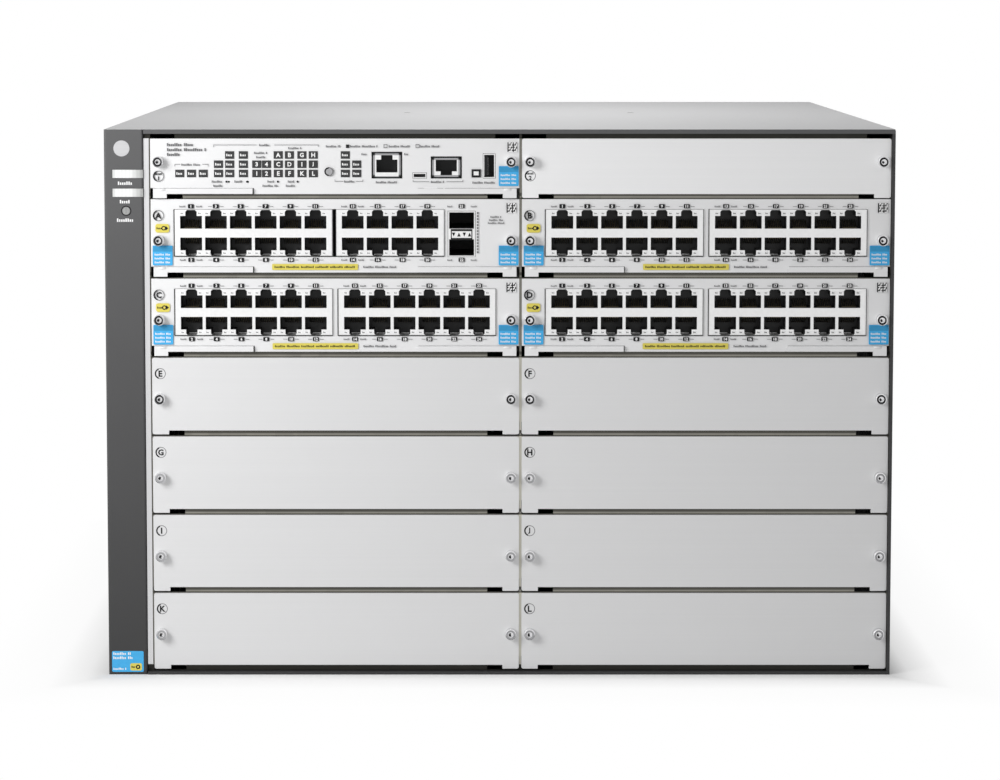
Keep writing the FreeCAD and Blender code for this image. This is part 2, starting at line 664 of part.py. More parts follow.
def slot_frame():
    """Front frame of posts, bars and screw plates that parts the fourteen slots."""
    left, right = COLUMNS.values()
    links = []
    for low, high in (("frame_left", f"{left} - fit"),
                      (f"{left} + slot_wide + fit", f"{right} - fit"),
                      (f"{right} + slot_wide + fit", "wall_right - sheet")):
        post = Piece("slot_post")
        post.pad("Y", "frame_front", "frame_back", box(low, high, "sheet", "trim_foot"))
        links.append(copy(post))
    bars = [(row_bar("foot_bar", "sheet - slot_foot"), [row_foot(0)]),
            (row_bar("row_bar", "slot_tall - window_lap - slot_pitch"), FEET[1:ROWS]),
            (row_bar("manager_bar",
                     f"{row_foot(ROWS - 1)} + slot_tall - window_lap - manager_foot"),
             ["manager_foot"]),
            (head_bar(), ["manager_foot"])]
    for tall, feet in (("slot_tall", FEET[:ROWS]), ("manager_tall", ["manager_foot"])):
        bars.append((screw_plate("left_screw_plate", "-fit", "post_inset", "screw_inset", tall),
                     feet))
        bars.append((screw_plate("right_screw_plate", "slot_wide - post_inset",
                                 "slot_wide + fit", "slot_wide - screw_inset", tall), feet))
    for piece, feet in bars:
        links += [copy(piece, column, "0", foot) for column in (left, right) for foot in feet]
    group("slot_frame", links)


def partition_walls():
    """Upright sheets that carry the card guides on the left and in the middle."""
    links = []
    for low in ("inner_wall_right - inner_wall_sheet", "divider_left"):
        piece = Piece("partition_wall")
        piece.pad("X", low, f"{low} + inner_wall_sheet",
                  box("frame_back", "backplane_front", "sheet", "trim_foot"))
        vents = [box("vent_start + front", "vent_start + front + wall_vent_wide",
                     f"vent_foot + {row} * vent_row_pitch",
                     f"vent_foot + vent_tall + {row} * vent_row_pitch") for row in range(ROWS)]
        slots = piece.cut("X", f"{low} - 1", f"{low} + inner_wall_sheet + 1", *vents)
        piece.repeat(slots, "Y", "wall_vent_pitch", WALL_VENTS)
        links.append(copy(piece))
    group("partition_walls", links)


def card_guide(outer, edge, side):
    """Plastic channel on a wall, open towards the slot whose edge is given."""
    piece = Piece("card_guide")
    inner = f"{edge} + {side} * guide_wide"
    groove = f"{edge} + {side} * (board_inset - fit)"
    low = "board_rise - fit / 2"
    high = "board_rise + board_sheet + fit / 2"
    piece.pad("Y", "face + guide_start", "face + guide_reach",
              polygon((outer, "guide_foot"), (inner, "guide_foot"), (inner, low), (groove, low),
                      (groove, high), (inner, high), (inner, "guide_foot + guide_tall"),
                      (outer, "guide_foot + guide_tall")))
    return piece


def card_guides():
    """One guide each side of all fourteen slots, standing on the walls beside them."""
    walls_beside = {"left": ("inner_wall_right", "divider_left"),
                    "right": ("divider_left + inner_wall_sheet", "wall_right - sheet")}
    links = []
    for side, (low, high) in walls_beside.items():
        left = COLUMNS[side]
        for guide in (card_guide(low, left, "1"), card_guide(high, f"{left} + slot_wide", "-1")):
            links += [copy(guide, "0", "0", foot) for foot in FEET]
    group("card_guides", links)


def backplane():
    """Board behind the slots, with a connector facing each of them."""
    piece = Piece("backplane")
    piece.pad("Y", "backplane_front", "backplane_front + backplane_sheet",
              box("inner_wall_right - inner_wall_sheet", "wall_right - sheet - fit",
                  "sheet", "backplane_top"))
    vents = [box(f"{left} + slot_wide - back_vent_inset - back_vent_wide",
                 f"{left} + slot_wide - back_vent_inset", "slot_foot + back_vent_rise",
                 "slot_foot + back_vent_rise + back_vent_tall") for left in COLUMNS.values()]
    slots = piece.cut("Y", "backplane_front - 1", "backplane_front + backplane_sheet + 1", *vents)
    piece.repeat(slots, "Z", "slot_pitch", ROWS)
    keep(piece)
    plug = Piece("backplane_plug")
    plug.pad("Y", "face + board_reach + fit", "backplane_front",
             box("connector_inset", "connector_inset + connector_wide",
                 "jack_rise", "jack_rise + connector_tall"))
    group("backplane_connectors", [copy(plug, left, "0", foot)
                                   for left in COLUMNS.values() for foot in FEET])


# Left bezel with its lights.
def light_pipe_places():
    return (("power_rise", "power_rise + pipe_tall"), ("fault_rise", "fault_rise + pipe_tall"))


def left_bezel():
    """Moulded cover of the left side: hollow behind, with a disc recess and light openings."""
    right = "wall_left + bezel_wide"
    piece = Piece("left_bezel")
    piece.pad("X", "wall_left", right,
              polygon(("front", "0"), ("front + bezel_deep", "0"),
                      ("front + bezel_deep", "cover_foot"), ("front + cover_sheet", "cover_foot"),
                      ("front + cover_sheet", "chassis_tall"), ("front", "chassis_tall")))
    piece.ease("Fillet", "bezel_round", lambda edge: at(edge, "y", "front")
                 and (at(edge, "x", "wall_left") or at(edge, "x", "wall_left + bezel_wide")
                      or at(edge, "z", "0")))
    piece.cut("Y", "front + bezel_skin", "front + bezel_deep",
              box("wall_left + bezel_skin", f"{right} - bezel_skin", "bezel_skin",
                  "cover_foot - bezel_skin"))
    piece.cut("Y", "front - 1", "front + disc_sink",
              circle("wall_left + disc_inset", "disc_rise", "disc_radius"))
    piece.cut("Y", "front - 1", "front + bezel_skin + 1",
              circle("wall_left + locator_inset", "locator_rise", "locator_radius + fit / 2"))
    piece.cut("Y", "front - 1", "light_board_front",
              *[box("wall_left + pipe_inset", f"{right} + 1", low, high)
                for low, high in light_pipe_places()])
    keep(piece)

    pipes = Piece("bezel_light_pipes")
    pipes.pad("Y", "front - pipe_proud", "light_board_front",
              *[box("wall_left + pipe_inset + fit / 2", right, f"{low} + fit / 2",
                    f"{high} - fit / 2") for low, high in light_pipe_places()])
    pipes.pad("Y", "front - pipe_proud", "light_board_front",
              circle("wall_left + locator_inset", "locator_rise", "locator_radius"))
    keep(pipes)

    board = Piece("bezel_light_board")
    board.pad("Y", "light_board_front", "light_board_front + board_sheet",
              box("wall_left + bezel_skin + fit", f"{right} - bezel_skin - fit",
                  "light_board_rise", "light_board_rise + light_board_tall"))
    keep(board)

    strip = Piece("bezel_strip")
    start = "wall_left + bezel_wide + strip_gap"
    strip.pad("Y", "face - strip_proud", "frame_front",
              box(start, f"{start} + strip_wide", "strip_foot", "strip_top"))
    keep(strip)


# Slots: faceplates, levers, boards and covers.
def faceplate(label, left, foot, tall, *windows):
    """Module front: a plate raised at its ends for the levers, with folded ears and rivets."""
    right = f"{left} + slot_wide"
    line = f"{foot} + lever_line"
    inner = "lever_long + fit * 3"
    piece = Piece(label)
    piece.pad("Y", "face", "frame_front",
              polygon((left, line), (f"{left} + {inner}", line), (f"{left} + {inner}", foot),
                      (f"{right} - {inner}", foot), (f"{right} - {inner}", line), (right, line),
                      (right, f"{foot} + {tall}"), (left, f"{foot} + {tall}")))
    piece.pad("Z", line, f"{line} + ear_sheet",
              box(f"{left} + fit", f"{left} + ear_long", "frame_front", "face + ear_deep"),
              box(f"{right} - ear_long", f"{right} - fit", "frame_front", "face + ear_deep"))
    pivots = [f"{left} + pivot_inset", f"{right} - pivot_inset"]
    gap = f"{line} - lever_top_gap * 2 - lever_sheet"
    piece.pad("Z", gap, line, *[circle(a, "face + pivot_deep", "pivot_radius") for a in pivots])
    piece.pad("Z", f"{gap} - pivot_head_tall", gap,
              *[circle(a, "face + pivot_deep", "pivot_head_radius") for a in pivots])
    piece.cut("Y", "face - 1", "frame_front + 1", *windows,
              *[circle(a, c, "screw_radius + running") for a, c in screw_places(left, foot)])
    keep(piece)


def lever(label, edge, side, foot):
    """Ejector lever: a flat arm round its rivet, with a lip in front and a corner tab."""
    def across(reach):
        return f"{edge} + {side} * ({reach})"
    piece = Piece(label)
    top = f"{foot} + lever_line - lever_top_gap"
    lip = "face - lever_lip_front"
    pivot = (across("pivot_inset"), "face + pivot_deep")
    piece.pad("Z", f"{top} - lever_sheet", top,
              polygon((across("lever_start"), lip), (across("lever_long"), lip),
                      (across("lever_long"), "face"),
                      (across("pivot_inset + lever_boss"), pivot[1]),
                      (across("pivot_inset - lever_boss"), pivot[1])))
    piece.pad("Z", f"{top} - lever_sheet", top, circle(*pivot, "lever_boss"))
    piece.pad("Y", lip, f"{lip} + lever_sheet",
              polygon((across("lever_start"), f"{foot} - lever_tab_drop"),
                      (across("lever_tab_wide"), f"{foot} - lever_tab_drop"),
                      (across("lever_tab_wide"), f"{foot} + lever_foot"),
                      (across("lever_long"), f"{foot} + lever_foot"),
                      (across("lever_long"), top), (across("lever_start"), top)))
    piece.cut("Z", f"{top} - lever_sheet - 1", f"{top} + 1", circle(*pivot, "pivot_radius + running"))
    keep(piece)


def levers(prefix, left, foot):
    lever(f"{prefix}_lever_left", left, "1", foot)
    lever(f"{prefix}_lever_right", f"{left} + slot_wide", "-1", foot)


def board(label, left, foot):
    """Circuit board with its rear connector and two finned heat sinks."""
    piece = Piece(label)
    rise = f"{foot} + jack_rise"
    piece.pad("Z", f"{foot} + board_rise", rise,
              box(f"{left} + board_inset", f"{left} + slot_wide - board_inset",
                  "frame_front + fit", "face + board_reach"))
    piece.pad("Z", rise, f"{rise} + connector_tall",
              box(f"{left} + connector_inset", f"{left} + connector_inset + connector_wide",
                  "face + board_reach - connector_deep", "face + board_reach"))
    starts = [f"{left} + board_inset + heat_sink_inset",
              f"{left} + slot_wide - board_inset - heat_sink_inset - heat_sink_wide"]
    piece.pad("Z", rise, f"{rise} + heat_sink_tall",
              *[box(start, f"{start} + heat_sink_wide", "face + heat_sink_back",
                    "face + heat_sink_back + heat_sink_wide") for start in starts])
    gaps = piece.cut("Z", f"{rise} + fin_gap", f"{rise} + heat_sink_tall + 1",
                     *[box(f"{start} + fin_pitch / 2", f"{start} + fin_pitch / 2 + fin_gap",
                           "face + heat_sink_back - 1",
                           "face + heat_sink_back + heat_sink_wide + 1") for start in starts])
    piece.repeat(gaps, "X", "fin_pitch", SINK_GAPS)
    keep(piece)


def port(middle, base, way, wide="port_wide"):
    """Outline of a jack opening whose latch tab slot points up (+1) or down (-1)."""
    steps = [(f"{wide} / 2", "0"), (f"{wide} / 2", "port_tall"), ("tab_wide / 2", "port_tall"),
             ("tab_wide / 2", "port_tall + tab_tall"),
             ("tab_tip_wide / 2", "port_tall + tab_tall + tab_tip_tall")]
    right = [(f"{middle} + {a}", f"{base} + {way} * ({c})") for a, c in steps]
    left = [(f"{middle} - {a}", f"{base} + {way} * ({c})") for a, c in reversed(steps)]
    return polygon(*right, *left)


def jack_pair():
    """Two stacked jacks with their latch tab slots outwards, drawn at the origin."""
    piece = Piece("jack_pair")
    tall = "jack_tall - shield_skin * 2"
    piece.pad("Y", "face - jack_proud", "face + jack_deep - shield_skin",
              box("-port_pitch / 2", "port_pitch / 2", f"-({tall}) / 2", f"({tall}) / 2"))
    piece.cut("Y", "face - jack_proud - 1", "face - jack_proud + port_deep",
              port("0", "port_middle", 1), port("0", "-port_middle", -1))
    return piece


def jack_bank(pair, left, foot, columns):
    """Row of jack pairs in their sheet shield, standing on the board."""
    inner = f"{columns} * port_pitch"
    wide = f"jack_wide - {BANK_COLUMNS - columns} * port_pitch"
    margin = f"(({wide}) - {inner}) / 2"
    rise = f"{foot} + jack_rise"
    shield = Piece("jack_shield")
    shield.pad("Y", "face - jack_proud", "face + jack_deep",
               box(left, f"{left} + {wide}", rise, f"{rise} + jack_tall"))
    shield.cut("Y", "face - jack_proud - 1", "face + jack_deep - shield_skin",
               box(f"{left} + {margin}", f"{left} + {margin} + {inner}",
                   f"{rise} + shield_skin", f"{rise} + jack_tall - shield_skin"))
    first = f"{left} + {margin} + port_pitch / 2"
    return [copy(shield)] + [copy(pair, f"{first} + {i} * port_pitch", "0",
                                  f"{rise} + jack_tall / 2") for i in range(columns)]


def jack_window(left, foot, wide):
    rise = f"{foot} + jack_rise"
    return box(f"{left} - window_fit", f"{left} + {wide} + window_fit", f"{rise} - window_fit",
               f"{rise} + jack_tall + window_fit")


JACK_PAIR = jack_pair()


def module(letter, left, foot, short):
    """Interface module; the short one has four jack columns and a cage in its second bank."""
    prefix = f"module_{letter}"
    first = f"{left} + bank_left"
    second = f"{first} + " + ("short_bank_pitch" if short else "bank_pitch")
    columns = SHORT_BANK_COLUMNS if short else BANK_COLUMNS
    span = f"({second}) - ({first}) + jack_wide - {BANK_COLUMNS - columns} * port_pitch"
    windows = ([jack_window(first, foot, span)] if short else
               [jack_window(bank, foot, "jack_wide") for bank in (first, second)])
    rise = f"{foot} + jack_rise"
    if short:
        cage = f"{left} + cage_left"
        windows.append(box(f"{cage} - window_fit", f"{cage} + cage_wide + window_fit",
                           f"{rise} - window_fit", f"{rise} + cage_tall + window_fit"))
    faceplate(f"{prefix}_faceplate", left, foot, "slot_tall", *windows)
    board(f"{prefix}_board", left, foot)
    group(f"{prefix}_jacks", jack_bank(JACK_PAIR, first, foot, BANK_COLUMNS)
          + jack_bank(JACK_PAIR, second, foot, columns))
    if short:
        piece = Piece(f"{prefix}_transceiver_cage")
        piece.pad("Y", "face - jack_proud", "face + cage_deep",
                  box(cage, f"{cage} + cage_wide", rise, f"{rise} + cage_tall"))
        piece.cut("Y", "face - jack_proud - 1", "face + cage_mouth_deep",
                  *[box(f"{cage} + cage_skin", f"{cage} + cage_wide - cage_skin", low, high)
                    for low, high in (
                        (f"{rise} + cage_skin", f"{rise} + cage_skin + cage_mouth"),
                        (f"{rise} + cage_tall - cage_skin - cage_mouth",
                         f"{rise} + cage_tall - cage_skin"))])
        keep(piece)
    levers(prefix, left, foot)
    group(f"{prefix}_screws", slot_screws(left, foot))


def blank_cover(tall):
    """Plain slot cover with corner tabs and a folded lower edge, drawn at the origin."""
    piece = Piece("blank_cover")
    right = "slot_wide"
    piece.pad("Y", "face", "frame_front",
              polygon(("0", "-lever_tab_drop"), ("lever_tab_wide", "-lever_tab_drop"),
                      ("lever_tab_wide", "0"), (f"{right} - lever_tab_wide", "0"),
                      (f"{right} - lever_tab_wide", "-lever_tab_drop"),
                      (right, "-lever_tab_drop"), (right, tall), ("0", tall)))
    piece.pad("Z", "0", "ear_sheet", box("foot_wide + fit", f"{right} - foot_wide - fit",
                                         "frame_front", "face + ear_deep"))
    piece.cut("Y", "face - 1", "frame_front + 1",
              *[circle(a, c, "screw_radius + running") for a, c in screw_places("0", "0")])
    piece.ease("Fillet", "lever_tab_drop / 2", lambda edge: along(edge, "y")
                 and (at(edge, "x", "0") or at(edge, "x", "slot_wide")))
    return piece


def blank_covers():
    """Covers of the free slots: lower four rows on both sides and the right management slot."""
    cover = blank_cover("slot_tall")
    screws = slot_screws("right_column", "manager_foot")
    links = []
    for left in COLUMNS.values():
        for row in range(BLANK_ROWS):
            links.append(copy(cover, left, "0", row_foot(row)))
            screws += slot_screws(left, row_foot(row))
    group("blank_covers", links)
    group("blank_cover_manager", [copy(blank_cover("manager_tall"), "right_column", "0",
                                       "manager_foot")])
    group("blank_cover_screws", screws)


# Status windows: the size that gives each column's left edge, and its rows of windows.
KEY_COLUMNS = {"key_auto": 1, "key_held": 1, "key_down": 1, "key_test": 2, "key_root": 3,
               "key_power": 3, "key_odd": 2, "key_even": 2, "key_first": 3, "key_second": 3,
               "key_third": 3, "key_fourth": 3, "key_mode": 3, "key_speed": 2}


def manager():
    """Management module: network and console jacks, USB sockets, mode button and windows."""
    left, foot, prefix = "left_column", "manager_foot", "manager"
    rise = f"{foot} + jack_rise"

    def window(start, wide, tall):
        return box(f"{left} + {start} - window_fit", f"{left} + {start} + {wide} + window_fit",
                   f"{rise} - window_fit", f"{rise} + {tall} + window_fit")
    mode = (f"{left} + mode_inset", f"{foot} + mode_rise")
    faceplate(f"{prefix}_faceplate", left, foot, "manager_tall",
              window("network_jack_left", "network_jack_wide", "network_jack_tall"),
              window("console_jack_left", "console_jack_wide", "console_jack_tall"),
              window("usb_left", "usb_wide", "usb_tall"),
              window("small_usb_left", "small_usb_wide", "small_usb_tall"),
              circle(*mode, "mode_radius + fit / 2"),
              *[circle(f"{left} + {reach}", f"{foot} + pinhole_rise", "pinhole_radius")
                for reach in ("reset_hole", "clear_hole")])
    board(f"{prefix}_board", left, foot)

    sockets = []
    for start, wide, tall, base, way in (
            ("network_jack_left", "network_jack_wide", "network_jack_tall",
             "network_port_rise", 1),
            ("console_jack_left", "console_jack_wide", "console_jack_tall",
             "console_jack_tall - console_port_drop", -1)):
        jack = Piece("jack")
        jack.pad("Y", "face - jack_proud", "face + jack_deep",
                 box(f"{left} + {start}", f"{left} + {start} + {wide}", rise,
                     f"{rise} + {tall}"))
        jack.cut("Y", "face - jack_proud - 1", "face - jack_proud + port_deep",
                 port(f"{left} + {start} + {wide} / 2", f"{rise} + {base}", way,
                      "manager_port_wide"))
        sockets.append(copy(jack))

    usb = Piece("usb")
    usb.pad("Y", "face - jack_proud", "face + usb_deep",
            box(f"{left} + usb_left", f"{left} + usb_left + usb_wide", rise,
                f"{rise} + usb_tall"))
    usb.cut("Y", "face - jack_proud - 1", "face + usb_mouth_deep",
            polygon(*usb_mouth(left, rise)))
    small = Piece("small_usb")
    small.pad("Y", "face - jack_proud", "face + usb_deep / 3",
              box(f"{left} + small_usb_left", f"{left} + small_usb_left + small_usb_wide", rise,
                  f"{rise} + small_usb_tall"))
    small.cut("Y", "face - jack_proud - 1", "face + usb_deep / 4",
              box(f"{left} + small_usb_left + usb_skin",
                  f"{left} + small_usb_left + small_usb_wide - usb_skin",
                  f"{rise} + usb_skin", f"{rise} + small_usb_tall - usb_skin"))
    group(f"{prefix}_sockets", sockets + [copy(usb), copy(small)])

    keys = Piece(f"{prefix}_status_windows")
    boxes = []
    for start, rows in KEY_COLUMNS.items():
        for row in range(rows):
            low = f"{foot} + key_foot + {row} * key_pitch"
            boxes.append(box(f"{left} + {start}", f"{left} + {start} + key_wide", low,
                             f"{low} + key_tall"))
    keys.pad("Y", "face - key_proud", "face", *boxes)
    keep(keys)

    button = Piece(f"{prefix}_mode_button")
    button.pad("Y", "face - mode_proud", "frame_front + fit", circle(*mode, "mode_radius"))
    button.pad("Y", "frame_front + fit", "frame_front + fit + mode_travel",
               circle(*mode, "mode_flange"))
    keep(button)
    levers(prefix, left, foot)
    group(f"{prefix}_screws", slot_screws(left, foot))


def usb_mouth(left, rise):
    """Opening of the upright socket, round the tongue on its left side."""
    low, high = f"{left} + usb_left + usb_skin", f"{left} + usb_left + usb_wide - usb_skin"
    bottom, top = f"{rise} + usb_skin", f"{rise} + usb_tall - usb_skin"
    tongue = f"{low} + usb_wide / 3"
    return ((low, bottom), (high, bottom), (high, top), (low, top),
            (low, f"{top} - usb_skin * 2"), (tongue, f"{top} - usb_skin * 2"),
            (tongue, f"{bottom} + usb_skin * 2"), (low, f"{bottom} + usb_skin * 2"))


# Rear: fan tray and power supplies.
def fan_middles():
    return ("-fan_spacing / 2", "fan_spacing / 2")


def fan_tray():
    """Rear panel with wire-like guards over two fans, and a shelf that carries them."""
    piece = Piece("fan_panel")
    piece.pad("Y", "rear", "panel_rear",
              box("-tray_wide / 2 - panel_lap", "tray_wide / 2 + panel_lap",
                  "tray_foot - panel_lap", "tray_top + panel_lap"))
    piece.cut("Y", "rear - 1", "panel_rear + 1",
              *[circle(a, "fan_rise", "fan_bore") for a in fan_middles()],
              *[circle(a, c, "rear_screw_radius + running") for a, c in tray_screw_places()])
    for ring in range(1, GUARD_RINGS + 1):
        outer = f"fan_bore + guard_ring - {ring} * guard_pitch"
        for a in fan_middles():
            piece.pad("Y", "rear", "panel_rear", circle(a, "fan_rise", outer),
                      circle(a, "fan_rise", f"{outer} - guard_ring"))
    piece.pad("Y", "rear", "panel_rear",
              *[box(f"{a} - guard_ring / 2", f"{a} + guard_ring / 2", "fan_rise - fan_bore - 1",
                    "fan_rise + fan_bore + 1") for a in fan_middles()])
    piece.pad("Y", "rear", "panel_rear",
              *[box(f"{a} - fan_bore - 1", f"{a} + fan_bore + 1", "fan_rise - guard_ring / 2",
                    "fan_rise + guard_ring / 2") for a in fan_middles()])
    shelf = Piece("fan_shelf")
    shelf.pad("Z", "fan_rise - fan_frame / 2 - tray_sheet", "fan_rise - fan_frame / 2",
              box("-tray_wide / 2 + fit * 5", "tray_wide / 2 - fit * 5", "rear - tray_deep",
                  "rear"))
    group("fan_tray", [copy(piece), copy(shelf)])

    housing = Piece("fan_housing")
    half = "fan_frame / 2"
    housing.pad("Y", "fan_front", "rear", box(f"-{half}", half, f"-{half}", half))
    housing.cut("Y", "fan_front - 1", "rear + 1", circle("0", "0", "fan_bore"))
    housing.pad("Y", "rear - tray_sheet * 2", "rear - fit", circle("0", "0", "hub_radius"))
    for turn in (0, 1):
        strut = ["guard_ring * 2", "fan_bore + 1"]
        across, up = (strut, strut[::-1])[turn], (strut[::-1], strut)[turn]
        housing.pad("Y", "rear - tray_sheet * 2", "rear - fit",
                    box(f"-({across[0]})", across[0], f"-({up[0]})", up[0]))
    group("fan_housings", [copy(housing, a, "0", "fan_rise") for a in fan_middles()])

    rotor = fan_rotor()
    for number, a in enumerate(fan_middles(), start=1):
        keep(copy(rotor, a, "rear - tray_sheet * 2 - fit - rotor_deep / 2", "fan_rise"),
             f"fan_rotor_{number}")
    group("fan_tray_screws", [copy(REAR, a, "panel_rear", c) for a, c in tray_screw_places()])


def fan_rotor():
    """Hub with seven twisted blades about the Y axis, drawn at the origin."""
    piece = Piece("fan_rotor")
    piece.pad("Y", "-rotor_deep / 2", "rotor_deep / 2", circle("0", "0", "hub_radius"))
    sections = []
    for reach, pitch, half in (("hub_radius - blade_half * 2", "root_pitch", "rotor_deep / 2"),
                               ("blade_reach", "tip_pitch", "rotor_deep * 3 / 4")):
        cosine, sine = f"cos({pitch} * 1 deg)", f"sin({pitch} * 1 deg)"
        corners = []
        for a, b in ((-1, -1), (1, -1), (1, 1), (-1, 1)):
            corners.append((f"{a} * {cosine} * ({half}) - {b} * {sine} * blade_half",
                            f"{a} * {sine} * ({half}) + {b} * {cosine} * blade_half"))
        sections.append(piece.sketch("Z", reach, [polygon(*corners)]))
    blade = piece.body.newObject("PartDesign::AdditiveLoft", "blade")
    blade.Profile = sections[0]
    blade.Sections = [sections[1]]
    piece.finish(blade)
    blades = piece.body.newObject("PartDesign::PolarPattern", "blades")
    blades.Originals = [blade]
    blades.Axis = (piece.origin("Y_Axis"), [""])
    blades.Angle = 360
    blades.Occurrences = BLADES
    piece.finish(blades)
    return piece


def power_supply(label, middle):
    """Supply case with a lapped rear panel, exhaust slots, a bow handle and a power inlet."""
    foot, top = "supply_foot", "supply_foot + supply_tall"
    low, high = f"{middle} - supply_wide / 2", f"{middle} + supply_wide / 2"
    piece = Piece(label)
    piece.pad("Y", "rear - supply_deep", "rear", box(low, high, foot, top))
    piece.pad("Y", "rear", "panel_rear",
              box(f"{low} - panel_lap", f"{high} + panel_lap", f"{foot} - panel_lap",
                  f"{top} + panel_lap"))
    inlet = f"{middle} + inlet_side"
    rise = f"{foot} + inlet_rise"
    piece.cut("Y", "panel_rear - inlet_deep - fit", "panel_rear + 1",
              box(f"{inlet} - inlet_wide / 2 - fit", f"{inlet} + inlet_wide / 2 + fit",
                  f"{rise} - fit", f"{rise} + inlet_tall + fit"))
    piece.cut("Y", "rear - 1", "panel_rear + 1",
              *[circle(a, c, "rear_screw_radius + running")
                for a, c in supply_screw_places(middle)])
    vents = piece.cut("Y", "rear - inlet_skin", "panel_rear + 1",
                      *[box(f"{low} + supply_vent_inset", f"{low} + supply_vent_inset + vent_wide",
                            f"{foot} + {start}", f"{foot} + {start} + vent_tall")
                        for start in ("supply_vent_inset", "supply_vent_rise")])
    piece.repeat(vents, "X", "vent_pitch * 3 / 4", SUPPLY_VENTS)
    grip = f"{middle} + handle_span / 8"
    start, end = grip, f"{grip} + handle_span"
    out = "panel_rear + handle_reach"
    piece.pad("Z", f"{top} - handle_tall * 2", f"{top} - handle_tall",
              polygon((start, "panel_rear"), (f"{start} + handle_bar", "panel_rear"),
                      (f"{start} + handle_bar", f"{out} - handle_bar"),
                      (f"{end} - handle_bar", f"{out} - handle_bar"),
                      (f"{end} - handle_bar", "panel_rear"), (end, "panel_rear"), (end, out),
                      (start, out)))
    piece.ease("Fillet", "handle_bar / 2", lambda edge: along(edge, "z") and at(edge, "y", out))
    keep(piece)

    socket = Piece(f"{label}_inlet")
    socket.pad("Y", "panel_rear - inlet_deep", "panel_rear + fit",
               box(f"{inlet} - inlet_wide / 2", f"{inlet} + inlet_wide / 2", rise,
                   f"{rise} + inlet_tall"))
    socket.cut("Y", "panel_rear - inlet_deep + inlet_skin", "panel_rear + 1",
               box(f"{inlet} - inlet_wide / 2 + inlet_skin",
                   f"{inlet} + inlet_wide / 2 - inlet_skin", f"{rise} + inlet_skin",
                   f"{rise} + inlet_tall - inlet_skin"))
    pins = []
    for side, lift in ((-1, 0), (0, 1), (1, 0)):
        a = f"{inlet} + {side} * inlet_wide / 4"
        c = f"{rise} + inlet_tall / 2 + {lift} * pin_tall - pin_tall"
        pins.append(box(f"{a} - pin_wide / 2", f"{a} + pin_wide / 2", c, f"{c} + pin_tall"))
    socket.pad("Y", "panel_rear - inlet_deep + inlet_skin", "panel_rear - inlet_skin", *pins)
    keep(socket)
    group(f"{label}_screws", [copy(REAR, a, "panel_rear", c)
                              for a, c in supply_screw_places(middle)])


chassis_shell()
front_trim()
top_cover()
slot_frame()
partition_walls()
card_guides()
backplane()
left_bezel()
blank_covers()
manager()
module("a", "left_column", row_foot(5), True)
module("b", "right_column", row_foot(5), False)
module("c", "left_column", row_foot(4), False)
module("d", "right_column", row_foot(4), False)
fan_tray()
for supply, place in SUPPLIES.items():
    power_supply(supply, place)
doc.recompute()

for item in doc.Objects:
    if set(item.State) & {"Invalid", "Error"}:
        raise RuntimeError(f"{item.Label} is {item.State}")

os.makedirs("parts", exist_ok=True)
for item in nodes:
    shape = Part.getShape(item)
    if shape.isNull() or not shape.isValid() or not shape.Solids:
        raise RuntimeError(f"{item.Label} has no valid solid")
    shape.exportStep(f"parts/{item.Label}.step")
    print(f"{item.Label:34s} {len(shape.Solids):3d} solids {shape.Volume / 1000:10.2f} cm3")
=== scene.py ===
import json
import math

